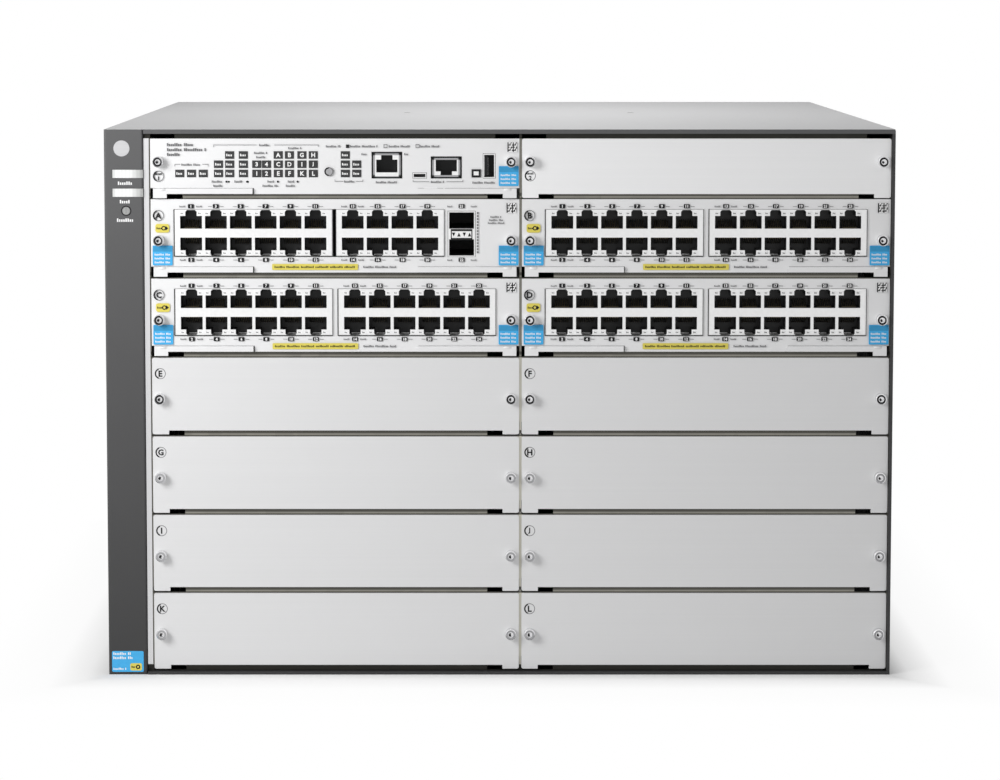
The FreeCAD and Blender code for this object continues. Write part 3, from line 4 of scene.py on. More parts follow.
import bmesh
import bpy
from bpy.props import FloatProperty, FloatVectorProperty, PointerProperty
from mathutils import Matrix, Vector
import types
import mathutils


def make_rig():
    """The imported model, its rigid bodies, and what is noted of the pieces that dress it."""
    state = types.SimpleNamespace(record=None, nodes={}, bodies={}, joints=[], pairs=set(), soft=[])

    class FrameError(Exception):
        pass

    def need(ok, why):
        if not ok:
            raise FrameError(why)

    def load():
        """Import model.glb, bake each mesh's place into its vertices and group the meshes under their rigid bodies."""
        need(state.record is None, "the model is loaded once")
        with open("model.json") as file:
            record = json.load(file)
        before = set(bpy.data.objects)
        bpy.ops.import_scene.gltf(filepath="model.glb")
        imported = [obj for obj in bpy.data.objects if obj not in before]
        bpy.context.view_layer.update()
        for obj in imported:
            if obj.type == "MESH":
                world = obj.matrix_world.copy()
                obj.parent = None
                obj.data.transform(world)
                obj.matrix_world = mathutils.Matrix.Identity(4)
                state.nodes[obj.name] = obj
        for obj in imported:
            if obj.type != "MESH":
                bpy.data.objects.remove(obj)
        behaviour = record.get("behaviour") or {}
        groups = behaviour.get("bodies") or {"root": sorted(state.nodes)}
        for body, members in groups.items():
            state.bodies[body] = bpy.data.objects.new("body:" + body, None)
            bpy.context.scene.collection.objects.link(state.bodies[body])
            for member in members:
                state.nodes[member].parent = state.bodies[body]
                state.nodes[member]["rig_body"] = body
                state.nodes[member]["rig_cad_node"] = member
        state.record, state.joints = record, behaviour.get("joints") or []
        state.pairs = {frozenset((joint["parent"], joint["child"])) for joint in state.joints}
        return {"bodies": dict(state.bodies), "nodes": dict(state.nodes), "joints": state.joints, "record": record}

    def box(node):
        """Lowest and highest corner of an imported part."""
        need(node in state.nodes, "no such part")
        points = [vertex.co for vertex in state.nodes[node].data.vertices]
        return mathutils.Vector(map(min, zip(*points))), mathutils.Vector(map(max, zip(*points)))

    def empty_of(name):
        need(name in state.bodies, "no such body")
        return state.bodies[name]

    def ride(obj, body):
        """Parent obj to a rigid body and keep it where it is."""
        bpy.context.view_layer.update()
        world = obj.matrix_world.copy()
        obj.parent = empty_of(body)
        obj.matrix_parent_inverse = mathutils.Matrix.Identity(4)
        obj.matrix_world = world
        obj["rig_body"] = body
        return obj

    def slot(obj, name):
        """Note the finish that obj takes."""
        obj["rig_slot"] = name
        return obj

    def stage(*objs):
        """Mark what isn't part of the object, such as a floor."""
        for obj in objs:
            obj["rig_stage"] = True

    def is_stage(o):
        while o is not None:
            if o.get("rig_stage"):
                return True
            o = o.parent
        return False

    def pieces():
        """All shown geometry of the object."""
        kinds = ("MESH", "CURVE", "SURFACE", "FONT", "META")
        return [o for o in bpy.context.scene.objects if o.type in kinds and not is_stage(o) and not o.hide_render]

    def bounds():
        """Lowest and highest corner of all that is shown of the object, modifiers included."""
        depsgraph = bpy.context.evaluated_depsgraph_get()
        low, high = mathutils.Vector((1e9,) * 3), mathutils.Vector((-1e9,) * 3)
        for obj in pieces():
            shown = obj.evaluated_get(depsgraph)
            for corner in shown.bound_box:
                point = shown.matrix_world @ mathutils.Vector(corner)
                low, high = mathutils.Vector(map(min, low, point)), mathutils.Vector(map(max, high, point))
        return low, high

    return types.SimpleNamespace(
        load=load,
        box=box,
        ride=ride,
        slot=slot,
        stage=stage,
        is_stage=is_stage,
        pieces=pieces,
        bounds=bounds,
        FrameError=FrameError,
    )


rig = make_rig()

bl_info = {
    "name": "Chassis Switch Finish",
    "version": (1, 0, 0),
    "blender": (4, 5, 0),
    "location": "3D View > Sidebar > Switch",
    "description": "Finishes, printed marks and studio for a modular chassis switch",
    "category": "Object",
}

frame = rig.load()
cad_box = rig.bounds()

MM = 0.001
SLOT_PITCH = 44.9 * MM
COLUMN_PITCH = 209.0 * MM
COVER_TAB = 2.2 * MM
COVER_LETTERS = (("E", "F"), ("G", "H"), ("I", "J"), ("K", "L"))
COVER_DIMPLES = ((-57.0 * MM, 26.0 * MM), (86.0 * MM, 26.0 * MM))
DIMPLE_RADIUS = 2.2 * MM
DIMPLE_LIFT = 0.05 * MM
POST_WIDE = 4.0 * MM
BOARD_SHEET = 1.7 * MM
CONNECTOR_DEEP = 16.0 * MM
LENS_TALL = 5.2 * MM
WINDOW_RIBS = 8.0
# Shares of a row's height, from the foot of one faceplate to the foot of the next, which bound the painted shadow
# lines and the painted highlight in the slot frame.
BAR_FOOT = 0.922
BAR_LIP = 0.937
SEAM_SHADE = 0.960


# ---------------------------------------------------------------- properties

def colour(name, red, green, blue, text):
    return FloatVectorProperty(name=name, description=text, subtype="COLOR", size=3,
                               min=0.0, max=1.0, default=(red, green, blue))


def length(name, value, text):
    return FloatProperty(name=name, description=text, default=value, unit="LENGTH",
                         precision=5, min=0.0)


class SwitchColours(bpy.types.PropertyGroup):
    """Colours of the finishes and inks."""
    # Case and trim are one dark paint in two tones: the case colour is darker as painted shade, the trim colour
    # lighter as painted light.
    case: colour("Case", 0.017, 0.017, 0.018, "Dark paint of the tray")
    trim: colour("Trim", 0.072, 0.072, 0.075, "Paint of the trim under the cover")
    cover: colour("Cover", 0.45, 0.45, 0.455, "Light paint of the top cover")
    bezel: colour("Bezel", 0.071, 0.071, 0.073, "Moulded plastic of the left bezel")
    face: colour("Face", 0.77, 0.77, 0.775, "Module faceplates and levers")
    blank: colour("Blank cover", 0.70, 0.70, 0.705, "Satin sheet of the blank covers")
    bars: colour("Slot frame", 0.225, 0.218, 0.190, "Zinc-coated slot frame")
    shield: colour("Shield", 0.83, 0.83, 0.83, "Tinned shields of the jacks")
    black: colour("Black plastic", 0.012, 0.012, 0.013, "Black moulded parts")
    laminate: colour("Laminate", 0.02, 0.13, 0.06, "Solder mask of the boards")
    blue: colour("Blue", 0.07, 0.42, 0.78, "Blue stickers")
    yellow: colour("Yellow", 0.72, 0.62, 0.12, "Yellow stickers")
    # Also the colour of the painted shade marks.
    ink: colour("Ink", 0.014, 0.014, 0.015, "Dark print on light plates")
    white: colour("White", 0.86, 0.86, 0.86, "White print and light windows")


class SwitchSizes(bpy.types.PropertyGroup):
    """Sizes of printed marks and small fittings."""
    print_thickness: length("Print thickness", 0.06 * MM, "Ink above the plate")
    number_wide: length("Number width", 3.4 * MM, "Width of the dark field behind a number")
    number_tall: length("Number height", 2.4 * MM, "Height of the dark field behind a number")
    badge_radius: length("Badge radius", 3.1 * MM, "Printed ring around a slot letter")
    contact_wide: length("Contact width", 0.45 * MM, "Width of a spring contact in a jack")


class SwitchStudio(bpy.types.PropertyGroup):
    """Camera and light."""
    distance: length("Distance", 1.7655, "Camera to the bezel front")
    height: length("Height", 0.3862, "Camera above the floor")
    aside: FloatProperty(name="Aside", description="Camera to the right of the middle",
                         default=-0.0161, unit="LENGTH", precision=4)
    tilt: FloatProperty(name="Tilt", description="Camera tilt downwards",
                        default=math.radians(5.014), unit="ROTATION", subtype="ANGLE")
    lens: FloatProperty(name="Lens", description="Focal length in millimetres",
                        default=113.3, min=1.0)
    ambient: FloatProperty(name="Ambient", description="Sky light on the object",
                           default=0.19, min=0.0)
    key: FloatProperty(name="Key light", description="Power of the main lamp in watts",
                       default=6.4, min=0.0)


# ------------------------------------------------------------------ shaders

class Wire:
    """A shader socket that takes part in expressions; each one adds its Math node."""

    def __init__(self, build, socket):
        self.build = build
        self.socket = socket

    def maths(self, operation, *values):
        node = self.build.add("ShaderNodeMath", {"operation": operation},
                              dict(enumerate(values)))
        return self.build.out(node)

    def __add__(self, other):
        return self.maths("ADD", self, other)

    def __sub__(self, other):
        return self.maths("SUBTRACT", self, other)

    def __rsub__(self, other):
        return self.maths("SUBTRACT", other, self)

    def __mul__(self, other):
        return self.maths("MULTIPLY", self, other)

    def __gt__(self, other):
        return self.maths("GREATER_THAN", self, other)

    def __lt__(self, other):
        return self.maths("LESS_THAN", self, other)

    def __abs__(self):
        return self.maths("ABSOLUTE", self)

    def larger(self, other):
        return self.maths("MAXIMUM", self, other)

    def fraction(self):
        return self.maths("FRACT", self)

    def clipped(self):
        node = self.build.add("ShaderNodeClamp", {}, {0: self})
        return self.build.out(node)

    __radd__ = __add__
    __rmul__ = __mul__


class Nodes:
    """Adds nodes to the tree of a material or of the world and joins them."""

    def __init__(self, owner):
        owner.use_nodes = True
        self.tree = owner.node_tree

    def add(self, kind, settings=None, inputs=None):
        node = self.tree.nodes.new(kind)
        for key, value in (settings or {}).items():
            if key == "stops":
                self.stops(node.color_ramp, value)
            else:
                setattr(node, key, value)
        for key, value in (inputs or {}).items():
            self.feed(node.inputs[key], value)
        return node

    def stops(self, ramp, values):
        while len(ramp.elements) < len(values):
            ramp.elements.new(0.5)
        for element, (place, level) in zip(ramp.elements, values):
            element.position = place
            element.color = (level, level, level, 1.0)

    def feed(self, socket, value):
        if isinstance(value, Wire):
            self.tree.links.new(value.socket, socket)
        elif socket.type == "RGBA" and len(value) == 3:
            socket.default_value = (*value, 1.0)
        else:
            socket.default_value = value

    def out(self, node, name=0):
        return Wire(self, node.outputs[name])

    def shown(self):
        """1 for rays from the camera, by way of a reflection or of glass too, and 0 for others."""
        ray = self.add("ShaderNodeLightPath")
        return (self.out(ray, "Is Camera Ray") + self.out(ray, "Is Glossy Ray")
                + self.out(ray, "Is Transmission Ray")).clipped()

    def blend(self, amount, first, second, end):
        """Mixes two shaders into the tree's output node."""
        mixer = self.add("ShaderNodeMixShader", {}, {0: amount, 1: first, 2: second})
        self.feed(self.tree.nodes[end].inputs[0], self.out(mixer))


class Finish(Nodes):
    """Builds the node tree of one material."""

    def __init__(self, name):
        self.material = bpy.data.materials.new(name)
        super().__init__(self.material)
        self.shader = self.tree.nodes["Principled BSDF"]

    def place(self):
        return self.out(self.add("ShaderNodeTexCoord"), "Object")

    def axes(self):
        """The three coordinates of the place, as wires."""
        parts = self.add("ShaderNodeSeparateXYZ", {}, {0: self.place()})
        return [self.out(parts, axis) for axis in range(3)]

    def stretched(self, scale):
        node = self.add("ShaderNodeMapping", {}, {"Vector": self.place(), "Scale": scale})
        return self.out(node)

    def noise(self, scale, detail=2.0, roughness=0.5, vector=None):
        node = self.add("ShaderNodeTexNoise", {},
                        {"Vector": vector or self.place(), "Scale": scale,
                         "Detail": detail, "Roughness": roughness})
        return self.out(node, 0)

    def ramp(self, value, *stops):
        node = self.add("ShaderNodeValToRGB", {"stops": stops}, {0: value})
        return self.out(node, 0)

    def mix(self, amount, first, second):
        node = self.add("ShaderNodeMix", {"data_type": "RGBA"},
                        {0: amount, 6: first, 7: second})
        return self.out(node, 2)

    def bump(self, height, distance, strength=1.0):
        node = self.add("ShaderNodeBump", {},
                        {"Height": height, "Distance": distance, "Strength": strength})
        self.feed(self.shader.inputs["Normal"], self.out(node))

    def set(self, **values):
        for key, value in values.items():
            self.feed(self.shader.inputs[key.replace("_", " ").title()], value)


def tone(base, factor):
    return tuple(min(1.0, channel * factor) for channel in base)


def textured_paint(name, base, grain=1600.0, rough=0.55):
    """Fine-textured powder paint with faint handling marks."""
    finish = Finish(name)
    cloud = finish.noise(9.0, 4.0, 0.6)
    speckle = finish.noise(grain, 2.0, 0.55)
    shade = finish.mix(cloud, tone(base, 0.90), tone(base, 1.10))
    shade = finish.mix(finish.ramp(speckle, (0.45, 0.0), (0.75, 1.0)) * 0.35,
                       shade, tone(base, 1.35))
    finish.set(base_color=shade, roughness=cloud * 0.10 + speckle * 0.12 + (rough - 0.11))
    finish.bump(speckle, 0.00012, 0.6)
    return finish.material


def brushed_sheet(name, base, metallic=0.75, rough=0.34, along=(3.0, 900.0, 900.0), depth=0.12):
    """Sheet metal with fine parallel grain and soft cloudy patches."""
    finish = Finish(name)
    grain = finish.noise(1.0, 3.0, 0.6, vector=finish.stretched(along))
    cloud = finish.noise(7.0, 3.0, 0.5)
    shade = finish.mix(grain, tone(base, 1.0 - depth), tone(base, 1.0 + depth / 2))
    shade = finish.mix(cloud * 0.35, shade, tone(base, 0.94))
    finish.set(base_color=shade, metallic=metallic,
               roughness=grain * 0.10 + cloud * 0.08 + (rough - 0.09))
    finish.bump(grain, 0.00002, 0.5)
    return finish.material


def shield(name, base, node, skin=0.5 * MM):
    """Tinned shield whose cavities, inside the node's outer box, are black plastic."""
    low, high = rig.box(node)
    finish = Finish(name)
    grain = finish.noise(700.0, 3.0)
    across, deep, height = finish.axes()
    inside = ((across > low.x + skin) * (across < high.x - skin)
              * (deep > low.y + skin) * (deep < high.y)
              * (height > low.z + skin) * (height < high.z - skin))
    tin = finish.mix(grain, tone(base, 0.92), tone(base, 1.04))
    dark = finish.mix(grain, (0.010, 0.010, 0.011), (0.020, 0.020, 0.021))
    finish.set(base_color=finish.mix(inside, tin, dark), metallic=(1 - inside) * 0.5,
               roughness=grain * 0.15 + 0.28 + inside * 0.15)
    return finish.material


def zinc_sheet(name, base, seam_shadows=False):
    """Zinc-coated sheet with a faint crystal pattern, which may carry painted shade between rows.

    With seam_shadows, dark lines paint the shadow in the gaps between rows, the middle post is lighter beside the
    blank covers as a painted highlight, and the head and foot are darkened as painted shade.
    """
    finish = Finish(name)
    crystals = finish.add("ShaderNodeTexVoronoi", {"feature": "F1"},
                          {"Vector": finish.place(), "Scale": 130.0})
    cell = finish.out(crystals, 1)
    patch = finish.noise(40.0, 3.0)
    level = finish.out(finish.add("ShaderNodeSeparateColor", {}, {0: cell}), 0)
    shade = finish.mix(level * 0.5 + patch * 0.4, tone(base, 0.86), tone(base, 1.12))
    if seam_shadows:
        low = corner_of("blank_covers")
        across, _, height = finish.axes()
        rows = (height - (low.z + COVER_TAB)) * (1.0 / SLOT_PITCH)
        turn = rows.fraction()
        # Dark lines where faceplates and bars meet: painted shadow in the gaps between rows.
        dark = (turn > SEAM_SHADE) + (turn > BAR_FOOT) * (turn < BAR_LIP)
        shade = finish.mix(dark * 0.85, shade, tone(base, 0.22))
        aside = across - (low.x + COLUMN_PITCH)
        # The middle post is lighter beside the blank covers: a painted highlight.
        post = ((aside > -POST_WIDE) * (aside < POST_WIDE) * (turn < BAR_FOOT)
                * (height < corner_of("module_c_faceplate").z))
        shade = finish.mix(post, shade, tone(base, 2.2))
        # Head above the top faceplate and foot below the lowest cover are darkened: painted shade.
        ends = (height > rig.box("manager_faceplate")[1].z) + (rows < 0.0)
        shade = finish.mix(ends.clipped(), shade, tone(base, 0.12))
    finish.set(base_color=shade, metallic=0.85, roughness=level * 0.12 + patch * 0.10 + 0.30)
    return finish.material


def moulded(name, base, rough=0.45, grain=2200.0, depth=0.00005, foot=1.0):
    """Moulded plastic with a fine spark-eroded grain, whose tone may fall towards its foot as painted shade."""
    finish = Finish(name)
    cloud = finish.noise(14.0, 3.0)
    speckle = finish.noise(grain, 2.0, 0.6)
    shade = finish.mix(cloud, tone(base, 0.92), tone(base, 1.10))
    # Darker towards the foot: painted shade of the light falling off downwards.
    if foot < 1.0:
        _, _, height = finish.axes()
        level = (height * (1.0 / (cad_box[1].z - cad_box[0].z))).clipped()
        dim = finish.mix(cloud, tone(base, 0.92 * foot), tone(base, 1.10 * foot))
        shade = finish.mix(level, dim, shade)
    finish.set(base_color=shade, roughness=cloud * 0.12 + speckle * 0.10 + (rough - 0.11))
    finish.bump(speckle, depth, 0.5)
    return finish.material


def printed(name, base, rough=0.5):
    """Ink or sticker film: an even coat with slight mottling."""
    finish = Finish(name)
    mottle = finish.noise(420.0, 2.0)
    finish.set(base_color=finish.mix(mottle, tone(base, 0.93), tone(base, 1.06)),
               roughness=mottle * 0.14 + (rough - 0.07))
    finish.shader.inputs["Specular IOR Level"].default_value = 0.15
    return finish.material


def plated(name, base, rough=0.22):
    """Bright plated metal of turned parts."""
    finish = Finish(name)
    wear = finish.noise(600.0, 3.0)
    finish.set(base_color=finish.mix(wear, tone(base, 0.82), base), metallic=1.0,
               roughness=wear * 0.16 + (rough - 0.06))
    return finish.material


def solder_mask(finish, base):
    """Shade of a board with darker weave and copper runs showing through, its runs and weave."""
    bricks = finish.add("ShaderNodeTexBrick", {"offset": 0.5},
                        {"Vector": finish.place(), "Scale": 90.0, "Mortar Size": 0.02})
    runs = finish.out(bricks, 1)
    weave = finish.noise(900.0, 2.0)
    shade = finish.mix(weave, tone(base, 0.8), tone(base, 1.2))
    return finish.mix(runs * 0.6, shade, tone(base, 1.9)), runs, weave


def circuit_laminate(name, base):
    """Board with nothing on it."""
    finish = Finish(name)
    shade, runs, weave = solder_mask(finish, base)
    finish.set(base_color=shade, roughness=weave * 0.15 + 0.30)
    finish.bump(runs, 0.00003, 0.5)
    return finish.material


def loaded_board(name, base, node):
    """Board with bare aluminium heat sinks and a black rear connector standing on it."""
    low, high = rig.box(node)
    finish = Finish(name)
    shade, _, weave = solder_mask(finish, base)
    _, deep, height = finish.axes()
    above = height > low.z + BOARD_SHEET
    rear = deep > high.y - CONNECTOR_DEEP
    metal = finish.mix(weave, (0.36, 0.37, 0.38), (0.46, 0.47, 0.48))
    black = finish.mix(weave, (0.012, 0.012, 0.013), (0.020, 0.020, 0.021))
    finish.set(base_color=finish.mix(above, shade, finish.mix(rear, metal, black)),
               metallic=above * (1 - rear) * 0.8, roughness=weave * 0.15 + 0.30)
    return finish.material


def glowing(name, base, strength, node):
    """Translucent ribbed windows, darkened towards their right ends as painted shade and given a faint painted glow,
    and a dim lens below them.
    """
    low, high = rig.box(node)
    finish = Finish(name)
    mottle = finish.noise(300.0, 2.0)
    across, _, height = finish.axes()
    along = (across - low.x) * (1.0 / (high.x - low.x))
    # Painted shade: the windows darken towards their right ends.
    painted_fade = finish.ramp(along, (0.0, 0.62), (0.12, 0.96), (0.60, 0.92), (1.0, 0.25))
    ribs = finish.ramp((along * WINDOW_RIBS).fraction(), (0.0, 0.0), (0.5, 0.10), (1.0, 0.0))
    lens = height < low.z + LENS_TALL
    shade = finish.mix(painted_fade - ribs + mottle * 0.06 - lens * 0.75, tone(base, 0.22), base)
    # The faint emission paints a glow on the windows.
    finish.set(base_color=shade, roughness=mottle * 0.1 + 0.25, emission_color=shade)
    finish.shader.inputs["Emission Strength"].default_value = strength
    return finish.material


FINISHES = {}


def finish(name):
    """The named finish, made at its first use from the colours in the panel."""
    if name not in FINISHES:
        shade = bpy.context.scene.switch_colours
        makers = {
            # The case paint is darkened as painted shade and the trim paint lightened as painted light, though both
            # are one paint.
            "case_paint": lambda: textured_paint(name, shade.case),
            "cover_paint": lambda: textured_paint(name, shade.cover, 1300.0, 0.50),
            "trim_paint": lambda: textured_paint(name, shade.trim),
            # The bezel darkens towards its foot as painted shade.
            "bezel_plastic": lambda: moulded(name, shade.bezel, 0.48, foot=0.28),
            "face_paint": lambda: brushed_sheet(name, shade.face, 0.12, 0.45, depth=0.02),
            "blank_sheet": lambda: brushed_sheet(name, shade.blank, 0.20, 0.42, depth=0.04),
            "bar_zinc": lambda: zinc_sheet(name, shade.bars),
            "head_sheet": lambda: brushed_sheet(name, tone(shade.blank, 1.2), 0.20, 0.42,
                                                depth=0.04),
            # The slot frame carries painted shadow in its row gaps, painted shade at head and foot, and a painted
            # highlight on its middle post.
            "slot_zinc": lambda: zinc_sheet(name, shade.bars, True),
            "black_plastic": lambda: moulded(name, shade.black, 0.42),
            "laminate": lambda: circuit_laminate(name, shade.laminate),
            "screw_plate": lambda: plated(name, (0.80, 0.80, 0.81)),
            "button_steel": lambda: plated(name, (0.42, 0.42, 0.43), 0.30),
            "badge_silver": lambda: brushed_sheet(name, (0.52, 0.52, 0.53), 0.3, 0.35),
            "steel_shade": lambda: printed(name, (0.36, 0.36, 0.37), 0.35),
            "strip_metal": lambda: brushed_sheet(name, (0.66, 0.66, 0.67), 0.85, 0.28,
                                                 (900.0, 900.0, 3.0)),
            "supply_zinc": lambda: zinc_sheet(name, (0.38, 0.38, 0.37)),
            # Light pipes: painted shade towards the right ends and a painted glow.
            "light_pipe": lambda: glowing(name, (0.80, 0.81, 0.80), 0.06, "bezel_light_pipes"),
            "blue_film": lambda: printed(name, shade.blue, 0.35),
            "deep_blue_film": lambda: printed(name, tone(shade.blue, 0.72), 0.35),
            "yellow_film": lambda: printed(name, shade.yellow, 0.38),
            # The dark and grey inks serve both for print and for painted shade.
            "dark_ink": lambda: printed(name, shade.ink),
            "grey_ink": lambda: printed(name, (0.17, 0.17, 0.175)),
            "white_ink": lambda: printed(name, shade.white),
            # The gold is darkened as painted shade inside the jacks.
            "contact_gold": lambda: plated(name, (0.20, 0.165, 0.10), 0.35),
        }
        FINISHES[name] = makers[name]()
    return FINISHES[name]


def wear(node, material):
    """Gives a node of the frame a material through its object's slots."""
    for slot in frame["nodes"][node].material_slots:
        slot.link = "OBJECT"
        slot.material = material


def dress(name, *nodes):
    """Gives nodes of the frame one of the named finishes."""
    for node in nodes:
        wear(node, finish(name))


def dress_sockets(context, node):
    wear(node, shield(f"{node}_shield", context.scene.switch_colours.shield, node))


def dress_board(context, node):
    wear(node, loaded_board(f"{node}_laminate", context.scene.switch_colours.laminate, node))


# ------------------------------------------------------------- mesh helpers

GLYPHS = {}
GLYPH_SPREAD = 0.035
CORNER_STEPS = 4
# Parts of the height of small print: step from stroke to stroke, stroke width, low stroke.
STROKE_STEP, STROKE_WIDE, STROKE_LOW = 0.62, 0.40, 0.72


def glyph(text):
    """Points and faces of a short number or letter, one unit tall, centred at the origin."""
    if text not in GLYPHS:
        curve = bpy.data.curves.new("glyph", "FONT")
        curve.body = text
        curve.align_x = "CENTER"
        curve.resolution_u = 2
        curve.offset = GLYPH_SPREAD
        shape = bpy.data.objects.new("glyph", curve)
        mesh = bpy.data.meshes.new_from_object(shape)
        points = [vertex.co.copy() for vertex in mesh.vertices]
        low, high = min(p.y for p in points), max(p.y for p in points)
        tall, middle = high - low, (high + low) / 2
        places = [(p.x / tall, (p.y - middle) / tall) for p in points]
        GLYPHS[text] = (places, [tuple(face.vertices) for face in mesh.polygons])
        bpy.data.objects.remove(shape)
        bpy.data.meshes.remove(mesh)
        bpy.data.curves.remove(curve)
    return GLYPHS[text]


class Marks:
    """Thin prints and stickers on a face that looks to the front, in one mesh."""

    def __init__(self, name, body, slot, corner, *inks):
        self.mesh = bmesh.new()
        self.name = name
        self.body = body
        self.slot = slot
        self.corner = Vector(corner)
        self.inks = inks
        self.lift = bpy.context.scene.switch_sizes.print_thickness

    def point(self, x, z, proud):
        return self.corner + Vector((x * MM, -proud, z * MM))

    def patch(self, outline, ink, layer=1):
        """A closed thin prism whose outline is given in millimetres, counter-clockwise."""
        proud = self.lift * layer
        front = [self.mesh.verts.new(self.point(x, z, proud)) for x, z in outline]
        rear = [self.mesh.verts.new(self.point(x, z, 0.0)) for x, z in outline]
        faces = [self.mesh.faces.new(front), self.mesh.faces.new(rear[::-1])]
        for i in range(len(outline)):
            j = (i + 1) % len(outline)
            faces.append(self.mesh.faces.new((front[i], rear[i], rear[j], front[j])))
        for face in faces:
            face.material_index = self.inks.index(ink)

    def bar(self, x, z, wide, tall, ink, layer=1):
        self.patch([(x, z), (x + wide, z), (x + wide, z + tall), (x, z + tall)], ink, layer)

    def rounded(self, x, z, wide, tall, radius, ink, layer=1):
        left, right = x + radius, x + wide - radius
        foot, head = z + radius, z + tall - radius
        outline = []
        for a, c, start in ((right, foot, -90), (right, head, 0), (left, head, 90),
                            (left, foot, 180)):
            for step in range(CORNER_STEPS + 1):
                angle = math.radians(start + step * 90.0 / CORNER_STEPS)
                outline.append((a + radius * math.cos(angle), c + radius * math.sin(angle)))
        self.patch(outline, ink, layer)

    def disc(self, x, z, radius, ink, layer=1, sides=28):
        angles = [math.tau * i / sides for i in range(sides)]
        self.patch([(x + radius * math.cos(a), z + radius * math.sin(a)) for a in angles],
                   ink, layer)

    def ring(self, x, z, inner, outer, ink, sides=28, span=(0.0, 360.0), layer=1):
        start, end = (math.radians(angle) for angle in span)
        for i in range(sides):
            a = start + (end - start) * i / sides
            b = start + (end - start) * (i + 1) / sides
            self.patch([(x + r * math.cos(t), z + r * math.sin(t))
                        for r, t in ((inner, a), (outer, a), (outer, b), (inner, b))], ink, layer)

    def frame(self, x, z, wide, tall, line, ink):
        self.bar(x, z, wide, line, ink)
        self.bar(x, z + tall - line, wide, line, ink)
        self.bar(x, z, line, tall, ink)
        self.bar(x + wide - line, z, line, tall, ink)

    def words(self, x, z, wide, tall, ink, layer=1):
        """A run of short upright strokes that fills the place of a line of small print.

        Two strokes in five are tall, and one in eleven is left out, as between two words.
        """
        step = tall * STROKE_STEP
        for i in range(max(1, int(wide / step))):
            high = tall if (i * 7) % 5 in (0, 3) else tall * STROKE_LOW
            if (i * 5) % 11 != 7:
                self.bar(x + i * step, z, tall * STROKE_WIDE, high, ink, layer)

    def text(self, text, x, z, tall, ink, layer=2):
        places, faces = glyph(text)
        verts = [self.mesh.verts.new(self.point(x + a * tall, z + c * tall, self.lift * layer))
                 for a, c in places]
        for corners in faces:
            face = self.mesh.faces.new([verts[i] for i in corners])
            face.material_index = self.inks.index(ink)

    def build(self):
        add_piece(self.name, self.mesh, self.body, self.slot, *self.inks)


def add_piece(name, mesh, body, slot, *finishes):
    """Turns a built mesh into a piece of the scene that rides on a body of the frame."""
    data = bpy.data.meshes.new(name)
    mesh.to_mesh(data)
    mesh.free()
    for finish_name in finishes:
        data.materials.append(finish(finish_name))
    piece = bpy.data.objects.new(name, data)
    bpy.context.collection.objects.link(piece)
    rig.ride(piece, body)
    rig.slot(piece, slot)


def corner_of(node):
    """Lowest left front corner of a node at rest."""
    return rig.box(node)[0]


# ------------------------------------------------------------ chassis pieces

class SWITCH_OT_case(bpy.types.Operator):
    """Finish the tray, trim, cover, slot frame and inner walls, and set the cover's dots"""
    bl_idname = "switch.case"
    bl_label = "Case"

    def execute(self, context):
        dress("case_paint", "chassis_shell")
        dress("trim_paint", "front_trim")
        dress("cover_paint", "top_cover")
        dress("slot_zinc", "slot_frame")
        dress("bar_zinc", "partition_walls")
        dress("black_plastic", "card_guides", "backplane_connectors")
        dress("laminate", "backplane")
        dress("screw_plate", "cover_screws")
        self.dimples()
        return {"FINISHED"}

    def dimples(self):
        """Two small pressed dots in the cover, one each side of its middle."""
        mesh = bmesh.new()
        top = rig.box("top_cover")[1].z
        for x, y in COVER_DIMPLES:
            place = Matrix.Translation((x, y, top + DIMPLE_LIFT))
            bmesh.ops.create_circle(mesh, cap_ends=True, segments=24, radius=DIMPLE_RADIUS,
                                    matrix=place)
        bmesh.ops.recalc_face_normals(mesh, faces=mesh.faces)
        add_piece("cover_dimples", mesh, "chassis", "cover_paint", "case_paint")


# Places on the bezel are millimetres from its lowest left corner.
BEZEL_MIDDLE = 12.3
# Foot and width of each line of print beside the windows.
BEZEL_WORDS = ((279.3, 9.0), (268.9, 7.0), (258.5, 10.4))
BEZEL_WORDS_TALL = 1.9
# Height, inner and outer radius.
BEZEL_RING = (264.7, 2.3, 2.9)
# Place and radius.
BEZEL_DISC = (9.95, 299.8, 4.5)
# Foot, width and height of each line of print on the sticker.
LABEL_WORDS = ((11.4, 10.6, 1.5), (9.0, 11.6, 1.5), (2.8, 8.0, 1.2))


class SWITCH_OT_bezel(bpy.types.Operator):
    """Finish the left bezel and set its light marks and sticker"""
    bl_idname = "switch.bezel"
    bl_label = "Bezel"

    def execute(self, context):
        dress("bezel_plastic", "left_bezel")
        dress("light_pipe", "bezel_light_pipes")
        dress("laminate", "bezel_light_board")
        dress("strip_metal", "bezel_strip")
        marks = Marks("bezel_marks", "chassis", "bezel_plastic", corner_of("left_bezel"),
                      "white_ink", "blue_film", "yellow_film", "dark_ink", "badge_silver")
        for foot, wide in BEZEL_WORDS:
            marks.words(BEZEL_MIDDLE - wide / 2, foot, wide, BEZEL_WORDS_TALL, "white_ink")
        marks.ring(BEZEL_MIDDLE, *BEZEL_RING, "dark_ink")
        marks.disc(*BEZEL_DISC, "badge_silver", 2, 40)
        self.label(marks)
        marks.build()
        return {"FINISHED"}

    def label(self, marks):
        """Blue sticker at the foot of the bezel, with a yellow field in its corner."""
        marks.rounded(1.8, 1.6, 18.0, 12.0, 0.8, "blue_film", 2)
        marks.rounded(12.2, 2.4, 6.6, 4.2, 0.9, "yellow_film", 3)
        for foot, wide, tall in LABEL_WORDS:
            marks.words(2.6, foot, wide, tall, "white_ink", 3)
        marks.words(12.9, 3.9, 2.6, 1.2, "dark_ink", 4)
        marks.ring(16.6, 4.5, 0.6, 1.3, "dark_ink", 14, layer=4)


